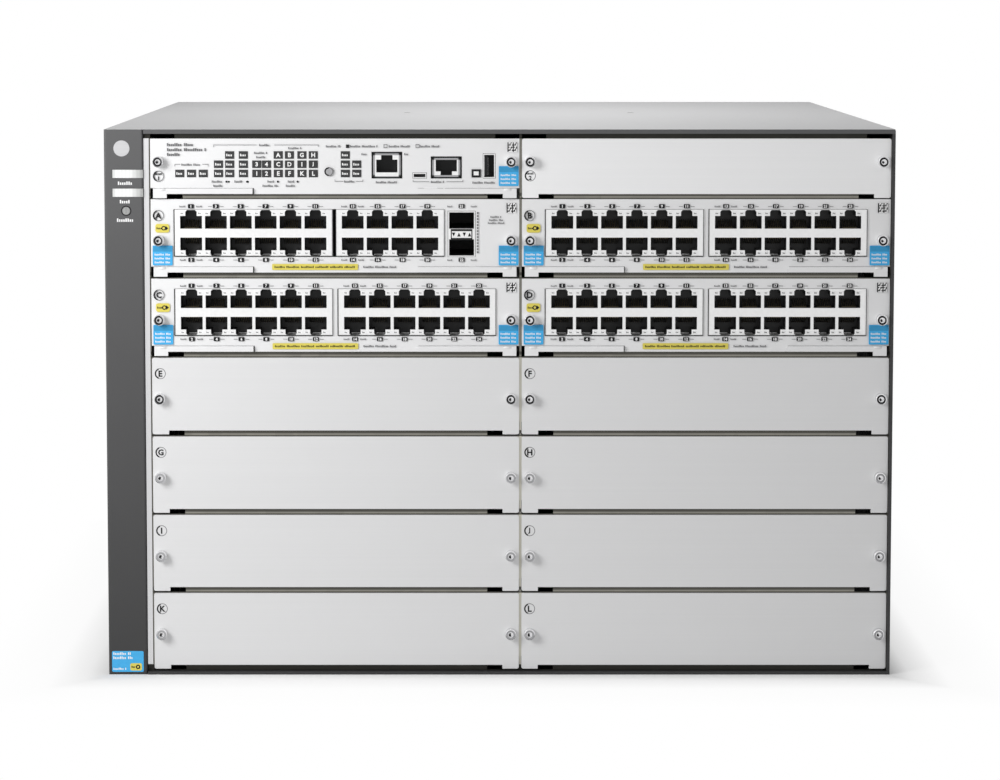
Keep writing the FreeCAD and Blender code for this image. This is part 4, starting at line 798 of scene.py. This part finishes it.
# Places on the covers are millimetres from the foot of the lowest one's left edge.
COVER_BADGE = (4.6, 32.4)
UPPER_BADGE = 279.1
# Rows from the top whose screws have dark rings of painted shade; those further down have grey ones, with lighter
# painted shade.
DARK_ROWS = 3.5
LETTER_TALL = 3.5
DIGIT_TALL = 2.4


class SWITCH_OT_covers(bpy.types.Operator):
    """Finish the blank slot covers and print their slot badges"""
    bl_idname = "switch.covers"
    bl_label = "Blank Covers"

    def execute(self, context):
        dress("blank_sheet", "blank_covers")
        dress("head_sheet", "blank_cover_manager")
        dress("screw_plate", "blank_cover_screws")
        low = corner_of("blank_covers")
        marks = Marks("cover_marks", "chassis", "face_steel", (low.x, low.y, low.z + COVER_TAB),
                      "grey_ink", "dark_ink")
        radius = context.scene.switch_sizes.badge_radius / MM
        side, rise = COVER_BADGE
        for row, letters in enumerate(reversed(COVER_LETTERS)):
            for column, letter in enumerate(letters):
                badge(marks, letter, side + column * COLUMN_PITCH / MM,
                      rise + row * SLOT_PITCH / MM, radius)
        slot_badge(marks, "2", side + COLUMN_PITCH / MM, UPPER_BADGE, radius)
        marks.build()
        self.rims()
        return {"FINISHED"}

    def rims(self):
        """Rings of painted shade on the screws of every blank cover."""
        low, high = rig.box("blank_cover_screws")
        column = COLUMN_PITCH / MM
        wide, tall = (high.x - low.x) / MM, (high.z - low.z) / MM
        ends = (SCREW_RADIUS, wide - column - SCREW_RADIUS)
        rises = [SCREW_RADIUS + row * SLOT_PITCH / MM for row in range(len(COVER_LETTERS))]
        places = [(x + side, z) for x in ends for side in (0.0, column) for z in rises]
        places += [(x + column, tall - SCREW_RADIUS) for x in ends]
        upper = [place for place in places if place[1] > tall - DARK_ROWS * SLOT_PITCH / MM]
        screw_rims("blank_cover_screws", "chassis", upper)
        lower = [place for place in places if place not in upper]
        screw_rims("blank_cover_screws", "chassis", lower, "steel_shade")


def badge_ring(marks, x, z, radius):
    """A thin printed ring, with a heavier dark arc on its left side as painted shadow."""
    marks.ring(x, z, radius - 0.35, radius, "grey_ink")
    # Painted shadow: the dark arc on the left side.
    marks.ring(x, z, radius - 0.75, radius, "dark_ink", 16, (110.0, 250.0), 2)


def badge(marks, letter, x, z, radius):
    """A slot letter in a ring."""
    badge_ring(marks, x, z, radius)
    marks.text(letter, x, z, LETTER_TALL, "dark_ink")


def slot_badge(marks, number, x, z, radius):
    """A slot number under a line of small print, in a ring."""
    badge_ring(marks, x, z, radius)
    marks.words(x - 2.0, z + 0.7, 4.2, 1.3, "dark_ink", 2)
    marks.text(number, x, z - DIGIT_TALL / 2, DIGIT_TALL, "dark_ink")


# -------------------------------------------------------------------- modules

# Places on a module are millimetres from the foot of its faceplate's left edge.
SCREW_RADIUS = 3.1
# Inner and outer radius of the ring of painted shade on a screw head.
RIM_INNER = 1.55
RIM_OUTER = 2.65
PLATE_TALL = 41.4
JACK_PITCH = 14.0
JACK_MIDDLE = 22.3
FIRST_PORT = 22.7
SECOND_BANK = 92.1
SHORT_BANK = 91.0
BANK_EDGE = 9.4
BANK_FOOT, BANK_TALL = 9.1, 26.6
# Widths of the painted shadow lines beside each bank of jacks.
BANK_LINE, BANK_LINE_LEFT = 0.4, 0.45
# Feet of what stands above and below each column of jacks.
NUMBER_FEET = (36.3, 6.0)
LEGEND_FEET = (36.9, 6.7)
DASH_FEET = (37.2, 7.0)
WINDOW_FEET = (32.7, 10.3)
NUMBER_CORNER = 0.5
NUMBER_TALL = 1.7
LEGEND_TALL = 0.9
DASH_WIDE, DASH_TALL, DASH_ASIDE = 2.2, 0.25, 4.4
WINDOW_SIDES = (-6.2, 3.7)
WINDOW_WIDE, WINDOW_TALL = 2.5, 1.5
MODULE_BADGE = (4.3, 32.2)
STICKER_SIDE = 11.2
STICKER_LEFT, STICKER_RIGHT = 1.0, 195.9
STICKER_FOOT = 4.1
CODE_CELLS = 9
CODE_LABEL = (200.3, 33.8, 5.4)
CAGE_MIDDLE = 175.0
# Place, number and pitch of the short bars beside the cage.
CAGE_SCALE = (183.6, 11.0, 14, 1.7)
# Half width, half height, pitch and level of the arrows.
ARROW_HALF, ARROW_RISE, ARROW_PITCH, ARROW_LEVEL = 0.95, 1.1, 3.0, 21.5
# Foot, left end and width of each line of print beside the cage.
CAGE_WORDS = ((31.0, 191.2, 6.8), (29.2, 190.4, 8.4), (27.5, 189.8, 9.6))
CONTACTS = 8
CONTACT_PITCH = 1.02
CONTACT_RISE = 2.7
CONTACT_THICK = 0.3
# Depth behind the mouth and rise from the start at each bend of a spring contact.
CONTACT_LINE = ((2.5, 0.1), (4.0, 0.6), (9.5, 3.6), (12.4, 3.7))


def second_bank(short):
    """Shift of the second bank of jacks, which has four columns on the short module, else six."""
    return (SHORT_BANK, 4) if short else (SECOND_BANK, 6)


def port_middles(short):
    """Distance of each column of jacks from the slot's left edge, in millimetres."""
    shift, columns = second_bank(short)
    return ([FIRST_PORT + i * JACK_PITCH for i in range(6)]
            + [FIRST_PORT + shift + i * JACK_PITCH for i in range(columns)])


def sticker(marks, x, z):
    """Blue sticker with a deeper band along its top and plain white lines."""
    side = STICKER_SIDE
    marks.rounded(x, z, side, side, 0.5, "blue_film", 2)
    marks.bar(x + 0.3, z + side - 3.4, side - 0.6, 3.1, "deep_blue_film", 3)
    for i in range(3):
        marks.words(x + 1.1, z + 1.2 + i * 2.2, side - 2.2, 1.1, "white_ink", 3)


def code_label(marks, x, z, side):
    """White label with a coarse pattern of dark squares."""
    marks.bar(x, z, side, side, "white_ink", 2)
    cell = side / CODE_CELLS
    for i in range(CODE_CELLS):
        for j in range(CODE_CELLS):
            if (i * i * 3 + j * 5 + i * j * 7) % 5 < 2:
                marks.bar(x + i * cell, z + j * cell, cell, cell, "dark_ink", 3)


def number_field(marks, number, middle, foot, wide, tall):
    """A light number on a dark field."""
    marks.rounded(middle - wide / 2, foot, wide, tall, NUMBER_CORNER, "dark_ink")
    marks.text(str(number), middle, foot + tall / 2, NUMBER_TALL, "white_ink")


class SWITCH_OT_modules(bpy.types.Operator):
    """Finish the four port modules and set their prints, stickers and contacts"""
    bl_idname = "switch.modules"
    bl_label = "Port Modules"

    def execute(self, context):
        for module, letter in zip(("module_a", "module_b", "module_c", "module_d"), "ABCD"):
            self.finish_module(context, module, letter)
        return {"FINISHED"}

    def finish_module(self, context, module, letter):
        short = letter == "A"
        dress("face_paint", f"{module}_faceplate", f"{module}_lever_left", f"{module}_lever_right")
        dress_sockets(context, f"{module}_jacks")
        dress("screw_plate", f"{module}_screws")
        dress_board(context, f"{module}_board")
        if short:
            dress_sockets(context, f"{module}_transceiver_cage")
        low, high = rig.box(f"{module}_faceplate")
        corner = Vector((low.x, low.y, high.z - PLATE_TALL * MM))
        self.prints(context, module, letter, short, corner)
        self.windows(module, short, corner)
        self.contacts(context, module, short, corner)
        screw_rims(f"{module}_screws", module, end_screws(f"{module}_screws"))

    def prints(self, context, module, letter, short, corner):
        sizes = context.scene.switch_sizes
        marks = Marks(f"{module}_marks", module, "face_steel", corner, "dark_ink", "grey_ink",
                      "white_ink", "blue_film", "deep_blue_film", "yellow_film")
        wide, tall = sizes.number_wide / MM, sizes.number_tall / MM
        for column, middle in enumerate(port_middles(short)):
            for row, foot in enumerate(NUMBER_FEET):
                number_field(marks, 2 * column + row + 1, middle, foot, wide, tall)
            if column in (0, 6):
                for foot in LEGEND_FEET:
                    marks.words(middle - 6.4, foot, 3.4, LEGEND_TALL, "grey_ink")
                    marks.words(middle + 3.0, foot, 3.8, LEGEND_TALL, "grey_ink")
            else:
                for foot in DASH_FEET:
                    for start in (middle - DASH_ASIDE, middle + DASH_ASIDE - DASH_WIDE):
                        marks.bar(start, foot, DASH_WIDE, DASH_TALL, "grey_ink")
        self.bank_lines(marks, short)
        badge(marks, letter, *MODULE_BADGE, sizes.badge_radius / MM)
        self.labels(marks)
        if short:
            self.cage_marks(marks)
        marks.build()

    def bank_lines(self, marks, short):
        """Painted shadow at the left and foot of each bank of jacks, where the shield meets the faceplate, as dark
        lines, and a lighter grey line of painted shade at its right.
        """
        shift, columns = second_bank(short)
        for middle, count in ((FIRST_PORT, 6), (FIRST_PORT + shift, columns)):
            start = middle - BANK_EDGE
            wide = JACK_PITCH * (count - 1) + 2 * BANK_EDGE
            marks.bar(start - BANK_LINE_LEFT, BANK_FOOT, BANK_LINE_LEFT, BANK_TALL, "dark_ink")
            marks.bar(start, BANK_FOOT, wide, BANK_LINE, "dark_ink")
            marks.bar(start + wide, BANK_FOOT, BANK_LINE, BANK_TALL, "grey_ink")

    def labels(self, marks):
        """Yellow label with a ring and an arrow, stickers, code label and a long yellow strip."""
        marks.rounded(2.6, 22.6, 7.8, 4.9, 1.2, "yellow_film")
        marks.words(3.3, 24.5, 3.0, 1.2, "dark_ink", 2)
        marks.ring(7.3, 25.1, 0.7, 1.3, "dark_ink", 14, layer=2)
        marks.patch([(8.4, 23.8), (9.9, 25.1), (8.4, 26.4)], "dark_ink", 2)
        sticker(marks, STICKER_LEFT, STICKER_FOOT)
        sticker(marks, STICKER_RIGHT, STICKER_FOOT)
        code_label(marks, *CODE_LABEL)
        marks.rounded(68.2, 1.5, 48.4, 3.4, 0.5, "yellow_film")
        marks.words(69.6, 2.6, 45.5, 1.2, "dark_ink", 2)
        marks.words(119.6, 2.6, 18.6, 1.2, "grey_ink")

    def cage_marks(self, marks):
        """Numbers, a scale of short bars and lines of print beside the transceiver cage."""
        for number, foot in zip((21, 22), NUMBER_FEET):
            number_field(marks, number, CAGE_MIDDLE, foot, 3.4, 2.4)
            marks.words(CAGE_MIDDLE - 8.0, foot + 0.6, 2.8, LEGEND_TALL, "grey_ink")
            marks.words(CAGE_MIDDLE + 5.2, foot + 0.6, 3.4, LEGEND_TALL, "grey_ink")
        x, foot, count, pitch = CAGE_SCALE
        for i in range(count):
            marks.bar(x, foot + i * pitch, 0.9, 1.1, "grey_ink")
        for foot, start, wide in CAGE_WORDS:
            marks.words(start, foot, wide, 1.0, "grey_ink")

    def windows(self, module, short, corner):
        """Light windows beside each latch slot, and the arrows between the cage's mouths."""
        front = corner_of(f"{module}_jacks").y
        marks = Marks(f"{module}_light_windows", module, "light_plastic",
                      (corner.x, front, corner.z), "white_ink", "grey_ink", "dark_ink")
        for middle in port_middles(short):
            for foot in WINDOW_FEET:
                for side in WINDOW_SIDES:
                    start = middle + side
                    marks.rounded(start, foot, WINDOW_WIDE, WINDOW_TALL, 0.3, "white_ink")
                    marks.words(start + 0.4, foot + 0.35, WINDOW_WIDE - 0.8, 0.8, "grey_ink", 2)
        if short:
            self.arrows(marks)
        marks.build()

    def arrows(self, marks):
        """Four arrows on a light field, by turns down and up, in a dark border that paints the shade of the cage's
        mouths.
        """
        # Dark border above and below the light field: painted shade of the cage's mouths.
        marks.bar(CAGE_MIDDLE - 6.1, 18.4, 12.2, 6.2, "dark_ink")
        marks.bar(CAGE_MIDDLE - 5.5, 19.6, 11.0, 3.8, "white_ink", 2)
        for i, way in enumerate((-1, 1, -1, 1)):
            x = CAGE_MIDDLE + (i - 1.5) * ARROW_PITCH
            base, tip = ARROW_LEVEL - way * ARROW_RISE, ARROW_LEVEL + way * ARROW_RISE
            outline = [(x - ARROW_HALF, base), (x + ARROW_HALF, base), (x, tip)]
            marks.patch(outline[::way], "dark_ink", 3)

    def contacts(self, context, module, short, corner):
        """Eight spring contacts in each jack, slanting back from the side facing the latch."""
        wide = context.scene.switch_sizes.contact_wide
        front = corner_of(f"{module}_jacks").y
        mesh = bmesh.new()
        for middle in port_middles(short):
            for way in (1, -1):
                base = corner.z + (JACK_MIDDLE + way * CONTACT_RISE) * MM
                for i in range(CONTACTS):
                    x = corner.x + (middle + (i - (CONTACTS - 1) / 2) * CONTACT_PITCH) * MM
                    spring(mesh, x, front, base, way, wide)
        bmesh.ops.recalc_face_normals(mesh, faces=mesh.faces)
        add_piece(f"{module}_contacts", mesh, module, "shield_steel", "contact_gold")


def end_screws(node):
    """Middles of the two captive screws of a module, from the corner of their node."""
    low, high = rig.box(node)
    return (SCREW_RADIUS, SCREW_RADIUS), ((high.x - low.x) / MM - SCREW_RADIUS, SCREW_RADIUS)


def screw_rims(node, body, places, shade="dark_ink"):
    """Painted shade on the head of each captive screw: a ring round its rim, a lighter arc of painted light on its lit
    side, and a dark dot where the drive recess lies in shade.
    """
    marks = Marks(f"{node}_rims", body, "screw_steel", corner_of(node), "dark_ink", "steel_shade")
    for x, z in places:
        # Ring of painted shade round the knurled rim.
        marks.ring(x, z, RIM_INNER, RIM_OUTER, shade, 24)
        # Lighter arc: painted light on the lit side of the rim.
        marks.ring(x, z, RIM_OUTER - 0.35, RIM_OUTER, "steel_shade", 12, (330.0, 430.0), 2)
        # Dark dot: painted shade in the drive recess.
        marks.disc(x - 0.5, z - 0.2, 0.7, "dark_ink", 3, 14)
    marks.build()


def spring(mesh, x, front, base, way, wide):
    """A bent contact strip: a slant rising from the mouth and a short flat behind it."""
    rows = []
    for deep, rise in CONTACT_LINE:
        y, z = front + deep * MM, base + way * rise * MM
        rows.append([mesh.verts.new((x + side * wide / 2, y, z + lift * way * CONTACT_THICK * MM))
                     for side, lift in ((-1, 0), (1, 0), (1, 1), (-1, 1))])
    for near, far in zip(rows, rows[1:]):
        for i in range(4):
            j = (i + 1) % 4
            mesh.faces.new((near[i], near[j], far[j], far[i]))
    mesh.faces.new(rows[0])
    mesh.faces.new(rows[-1][::-1])


# ---------------------------------------------------------- management module

# Places on the module are millimetres from the foot of its faceplate's left edge.
# Left edges of the columns of status windows, by the number of windows in a column.
KEY_COLUMNS = {1: (14.0, 20.6, 27.2), 2: (35.8, 57.3, 62.8, 113.5),
               3: (42.1, 49.8, 69.4, 75.7, 82.7, 89.1, 107.1)}
KEY_WIDE, KEY_TALL, KEY_FOOT, KEY_PITCH = 5.1, 4.25, 9.5, 5.2
# Sign behind the window with this left edge and row.
KEY_SIGNS = {(57.3, 0): "1", (62.8, 0): "2", (57.3, 1): "3", (62.8, 1): "4",
             (69.4, 0): "E", (75.7, 0): "F", (82.7, 0): "K", (89.1, 0): "L",
             (69.4, 1): "C", (75.7, 1): "D", (82.7, 1): "I", (89.1, 1): "J",
             (69.4, 2): "A", (75.7, 2): "B", (82.7, 2): "G", (89.1, 2): "H"}
# Left end, foot and width of each line of print.
TITLE_LINES = ((9.5, 27.0, 14.8), (9.5, 24.2, 22.9), (9.5, 21.5, 8.1))
WORD_LINES = ((17.6, 16.0, 10.6), (61.3, 27.0, 7.0), (77.6, 25.3, 8.0), (58.4, 22.6, 7.6),
              (59.6, 20.2, 5.4), (34.5, 6.5, 6.8), (35.4, 4.1, 5.6), (47.3, 6.5, 5.0),
              (65.9, 6.5, 3.8), (63.1, 4.1, 9.4), (77.3, 6.5, 3.8), (76.2, 4.1, 5.4),
              (98.8, 26.3, 8.2), (112.3, 26.3, 16.2), (134.1, 26.3, 12.4), (151.5, 26.3, 11.2),
              (109.0, 6.5, 6.0), (126.8, 6.1, 12.6), (157.8, 6.3, 7.8), (181.1, 5.9, 12.8),
              (118.8, 21.9, 3.4), (142.8, 21.9, 2.8))
TITLE_TALL = 1.7
WORD_TALL = 1.2
BRACKET_LINE = 0.25
BRACKET_DROP = 1.1
# Height above which a bracket stands over its windows and turns down.
BRACKET_UPPER = 10.0
SIGN_TALL = 2.5
MODE_DOTS = ((42.8, 7.0), (54.4, 7.0), (71.7, 7.0), (82.8, 7.0))
PORT_SQUARES = ((131.2, 26.0), (149.2, 26.0))
MANAGER_TALL = 31.2
MANAGER_BADGE = (4.6, 10.1)
SHIELD_FOOT = 9.0
# Left edge, width and height.
SHIELD_RIMS = ((124.6, 16.8, 14.6), (157.9, 17.0, 12.0))
SOCKET_TONGUE = (187.75, 10.5, 2.1, 10.6)
BUTTON_RIM = 2.5
# Left end, foot, width, and the end at which the line turns: 1 the left one, -1 the right one.
BRACKETS = ((13.7, 16.7, 3.2, 1), (29.3, 16.7, 3.4, -1), (35.6, 27.6, 24.3, 1),
            (69.8, 27.6, 24.8, -1), (103.7, 7.1, 4.8, 1), (115.6, 7.1, 4.0, -1),
            (147.6, 6.9, 9.2, 1), (166.5, 6.9, 9.3, -1))


class SWITCH_OT_manager(bpy.types.Operator):
    """Finish the management module and print its windows, brackets and stickers"""
    bl_idname = "switch.manager"
    bl_label = "Management Module"

    def execute(self, context):
        dress("face_paint", "manager_faceplate", "manager_lever_left", "manager_lever_right")
        dress("black_plastic", "manager_status_windows")
        dress_sockets(context, "manager_sockets")
        dress("screw_plate", "manager_screws")
        dress("button_steel", "manager_mode_button")
        dress_board(context, "manager_board")
        low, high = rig.box("manager_faceplate")
        corner = Vector((low.x, low.y, high.z - MANAGER_TALL * MM))
        self.prints(context, corner)
        self.signs(corner)
        self.rims(corner)
        screw_rims("manager_screws", "manager", end_screws("manager_screws"))
        self.button()
        return {"FINISHED"}

    def button(self):
        """Grey ring with a darker left half on the face of the mode button: painted shade in the gap round it."""
        low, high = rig.box("manager_mode_button")
        middle = (high.x - low.x) / MM / 2
        marks = Marks("mode_button_ring", "manager_mode_button", "guide_plastic", low,
                      "grey_ink", "dark_ink")
        marks.ring(middle, middle, BUTTON_RIM - 0.5, BUTTON_RIM, "grey_ink")
        # Darker left half: painted shade.
        marks.ring(middle, middle, BUTTON_RIM - 0.8, BUTTON_RIM, "dark_ink", 16, (90.0, 270.0), 2)
        marks.build()

    def rims(self, corner):
        """Shaded rims of the two jack shields and the dark tongue of the upright socket."""
        front = corner_of("manager_sockets").y
        marks = Marks("manager_socket_rims", "manager", "shield_steel",
                      (corner.x, front, corner.z), "dark_ink", "steel_shade", "white_ink")
        for x, wide, tall in SHIELD_RIMS:
            marks.frame(x, SHIELD_FOOT, wide, tall, 0.7, "dark_ink")
            marks.frame(x + 0.7, SHIELD_FOOT + 0.7, wide - 1.4, tall - 1.4, 1.0, "steel_shade")
        x, wide, tall = SHIELD_RIMS[0]
        marks.bar(x + 1.8, SHIELD_FOOT + 1.1, wide - 3.6, 1.3, "white_ink", 2)
        marks.bar(*SOCKET_TONGUE, "dark_ink")
        marks.build()

    def prints(self, context, corner):
        marks = Marks("manager_marks", "manager", "face_steel", corner, "dark_ink", "grey_ink",
                      "white_ink", "blue_film", "deep_blue_film")
        for x, z, wide in TITLE_LINES:
            marks.words(x, z, wide, TITLE_TALL, "grey_ink")
        for x, z, wide in WORD_LINES:
            marks.words(x, z, wide, WORD_TALL, "grey_ink")
        for x, z, wide, way in BRACKETS:
            marks.bar(x, z, wide, BRACKET_LINE, "grey_ink")
            end = x if way > 0 else x + wide - BRACKET_LINE
            foot = z - BRACKET_DROP if z > BRACKET_UPPER else z
            marks.bar(end, foot, BRACKET_LINE, BRACKET_DROP, "grey_ink")
        slot_badge(marks, "1", *MANAGER_BADGE, context.scene.switch_sizes.badge_radius / MM)
        marks.bar(110.0, 26.0, 1.9, 1.9, "dark_ink")
        for x, z in PORT_SQUARES:
            marks.frame(x, z, 2.1, 2.1, 0.3, "grey_ink")
        marks.bar(180.6, 9.4, 5.2, 4.6, "dark_ink")
        marks.bar(181.8, 10.6, 2.8, 2.2, "white_ink", 2)
        for x, z in MODE_DOTS:
            marks.disc(x, z, 0.6, "dark_ink", sides=14)
        sticker(marks, STICKER_RIGHT, 4.6)
        code_label(marks, 200.8, 23.8, 5.3)
        marks.build()

    def signs(self, corner):
        """Letters and plain lines behind the status windows."""
        front = corner_of("manager_status_windows").y
        marks = Marks("manager_window_signs", "manager", "window_plastic",
                      (corner.x, front, corner.z), "white_ink")
        for rows, starts in KEY_COLUMNS.items():
            for start in starts:
                for row in range(rows):
                    x, z = start + KEY_WIDE / 2, KEY_FOOT + row * KEY_PITCH + KEY_TALL / 2
                    sign = KEY_SIGNS.get((start, row))
                    if sign:
                        marks.text(sign, x, z, SIGN_TALL, "white_ink", 1)
                    else:
                        marks.words(start + 0.7, z - 0.7, KEY_WIDE - 1.2, 1.4, "white_ink")
        marks.build()


# ----------------------------------------------------------------------- rear

class SWITCH_OT_rear(bpy.types.Operator):
    """Finish the fan tray, fans and power supplies"""
    bl_idname = "switch.rear"
    bl_label = "Rear"

    def execute(self, context):
        dress("supply_zinc", "fan_tray", "power_supply_1", "power_supply_2")
        dress("black_plastic", "fan_housings", "fan_rotor_1", "fan_rotor_2",
              "power_supply_1_inlet", "power_supply_2_inlet")
        dress("screw_plate", "fan_tray_screws", "power_supply_1_screws", "power_supply_2_screws")
        return {"FINISHED"}


# --------------------------------------------------------------------- studio

FLOOR_REACH = 40.0
# Share of plain white in the floor at distances from its middle in metres; the rest shows shadow.
FLOOR_FADE = ((0.230, 0.15), (0.242, 0.62), (0.262, 0.94), (0.31, 1.0))
SIDE_INSET = 8.0 * MM
WHITE = (1.0, 1.0, 1.0)
LAMP_AIM = (0.0, 0.0, 0.15)
# Name, place, size and share of the key light's power.
LAMPS = (("key_lamp", (-0.62, -0.80, 0.50), 0.4, 1.0),
         ("fill_lamp", (0.75, -0.9, 0.85), 0.4, 0.17),
         ("top_lamp", (0.0, 0.05, 0.64), 0.22, 0.17))
SENSOR_WIDE = 36.0
LENS_SHIFT = (0.029, -0.12)


class SWITCH_OT_studio(bpy.types.Operator):
    """Make the floor, the soft lights and the camera"""
    bl_idname = "switch.studio"
    bl_label = "Studio"

    def execute(self, context):
        self.floor()
        self.sky(context)
        self.lamps(context)
        self.camera(context)
        context.scene.view_settings.view_transform = "Standard"
        return {"FINISHED"}

    def floor(self):
        """A pale floor that is plain white beyond the object's own shadow."""
        mesh = bpy.data.meshes.new("floor")
        corners = [(x * FLOOR_REACH, y * FLOOR_REACH, 0)
                   for x, y in ((-1, -1), (1, -1), (1, 1), (-1, 1))]
        mesh.from_pydata(corners, [], [(0, 1, 2, 3)])
        floor = bpy.data.objects.new("floor", mesh)
        floor.location.z = cad_box[0].z
        bpy.context.collection.objects.link(floor)
        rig.stage(floor)
        coat = Finish("floor_paper")
        coat.set(base_color=(0.90, 0.90, 0.90), roughness=0.9)
        glow = coat.add("ShaderNodeEmission", {}, {"Color": WHITE, "Strength": 1.0})
        across, deep, _ = coat.axes()
        span = (abs(across) + SIDE_INSET).larger(abs(deep))
        away = coat.ramp(span, *FLOOR_FADE)
        coat.blend(away * coat.shown(), coat.out(coat.shader), coat.out(glow), "Material Output")
        mesh.materials.append(coat.material)

    def sky(self, context):
        """A world that looks white and gives an even, weaker light."""
        world = bpy.data.worlds.new("studio")
        context.scene.world = world
        air = Nodes(world)
        light = air.tree.nodes["Background"]
        air.feed(light.inputs[0], WHITE)
        air.feed(light.inputs[1], context.scene.switch_studio.ambient)
        white = air.add("ShaderNodeBackground", {}, {0: WHITE, 1: 1.0})
        air.blend(air.shown(), air.out(light), air.out(white), "World Output")

    def lamps(self, context):
        for name, place, size, share in LAMPS:
            light = bpy.data.lights.new(name, "AREA")
            light.energy = context.scene.switch_studio.key * share
            light.size = size
            lamp = bpy.data.objects.new(name, light)
            lamp.location = place
            lamp.visible_camera = False
            aim = Vector(LAMP_AIM) - Vector(place)
            lamp.rotation_euler = aim.to_track_quat("-Z", "Y").to_euler()
            context.collection.objects.link(lamp)

    def camera(self, context):
        studio = context.scene.switch_studio
        lens = bpy.data.cameras.new("camera")
        lens.lens = studio.lens
        lens.sensor_width = SENSOR_WIDE
        lens.shift_x, lens.shift_y = LENS_SHIFT
        camera = bpy.data.objects.new("camera", lens)
        front = corner_of("left_bezel").y
        camera.location = (studio.aside, front - studio.distance, studio.height)
        camera.rotation_euler = (math.radians(90.0) - studio.tilt, 0.0, 0.0)
        context.collection.objects.link(camera)
        context.scene.camera = camera


# ---------------------------------------------------------------- the add-on

STEPS = (SWITCH_OT_case, SWITCH_OT_bezel, SWITCH_OT_covers, SWITCH_OT_manager,
         SWITCH_OT_modules, SWITCH_OT_rear, SWITCH_OT_studio)
GROUPS = {"switch_colours": SwitchColours, "switch_sizes": SwitchSizes,
          "switch_studio": SwitchStudio}


class SWITCH_PT_finish(bpy.types.Panel):
    """Steps and settings in the sidebar"""
    bl_idname = "SWITCH_PT_finish"
    bl_label = "Chassis Switch Finish"
    bl_space_type = "VIEW_3D"
    bl_region_type = "UI"
    bl_category = "Switch"

    def draw(self, context):
        for group in GROUPS:
            settings = getattr(context.scene, group)
            column = self.layout.column(align=True)
            for name in settings.__annotations__:
                column.prop(settings, name)
        for step in STEPS:
            self.layout.operator(step.bl_idname)


def register():
    for group in GROUPS.values():
        bpy.utils.register_class(group)
    for name, group in GROUPS.items():
        setattr(bpy.types.Scene, name, PointerProperty(type=group))
    for step in STEPS:
        bpy.utils.register_class(step)
    bpy.utils.register_class(SWITCH_PT_finish)


def unregister():
    bpy.utils.unregister_class(SWITCH_PT_finish)
    for step in reversed(STEPS):
        bpy.utils.unregister_class(step)
    for name in GROUPS:
        delattr(bpy.types.Scene, name)
    for group in reversed(GROUPS.values()):
        bpy.utils.unregister_class(group)


def main():
    register()
    bpy.ops.switch.case()
    bpy.ops.switch.bezel()
    bpy.ops.switch.covers()
    bpy.ops.switch.manager()
    bpy.ops.switch.modules()
    bpy.ops.switch.rear()
    bpy.ops.switch.studio()
    with open("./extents.json", "w") as target:
        json.dump({"cad": [list(corner) for corner in cad_box],
                   "visual": [list(corner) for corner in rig.bounds()]}, target)


if __name__ == "__main__":
    main()
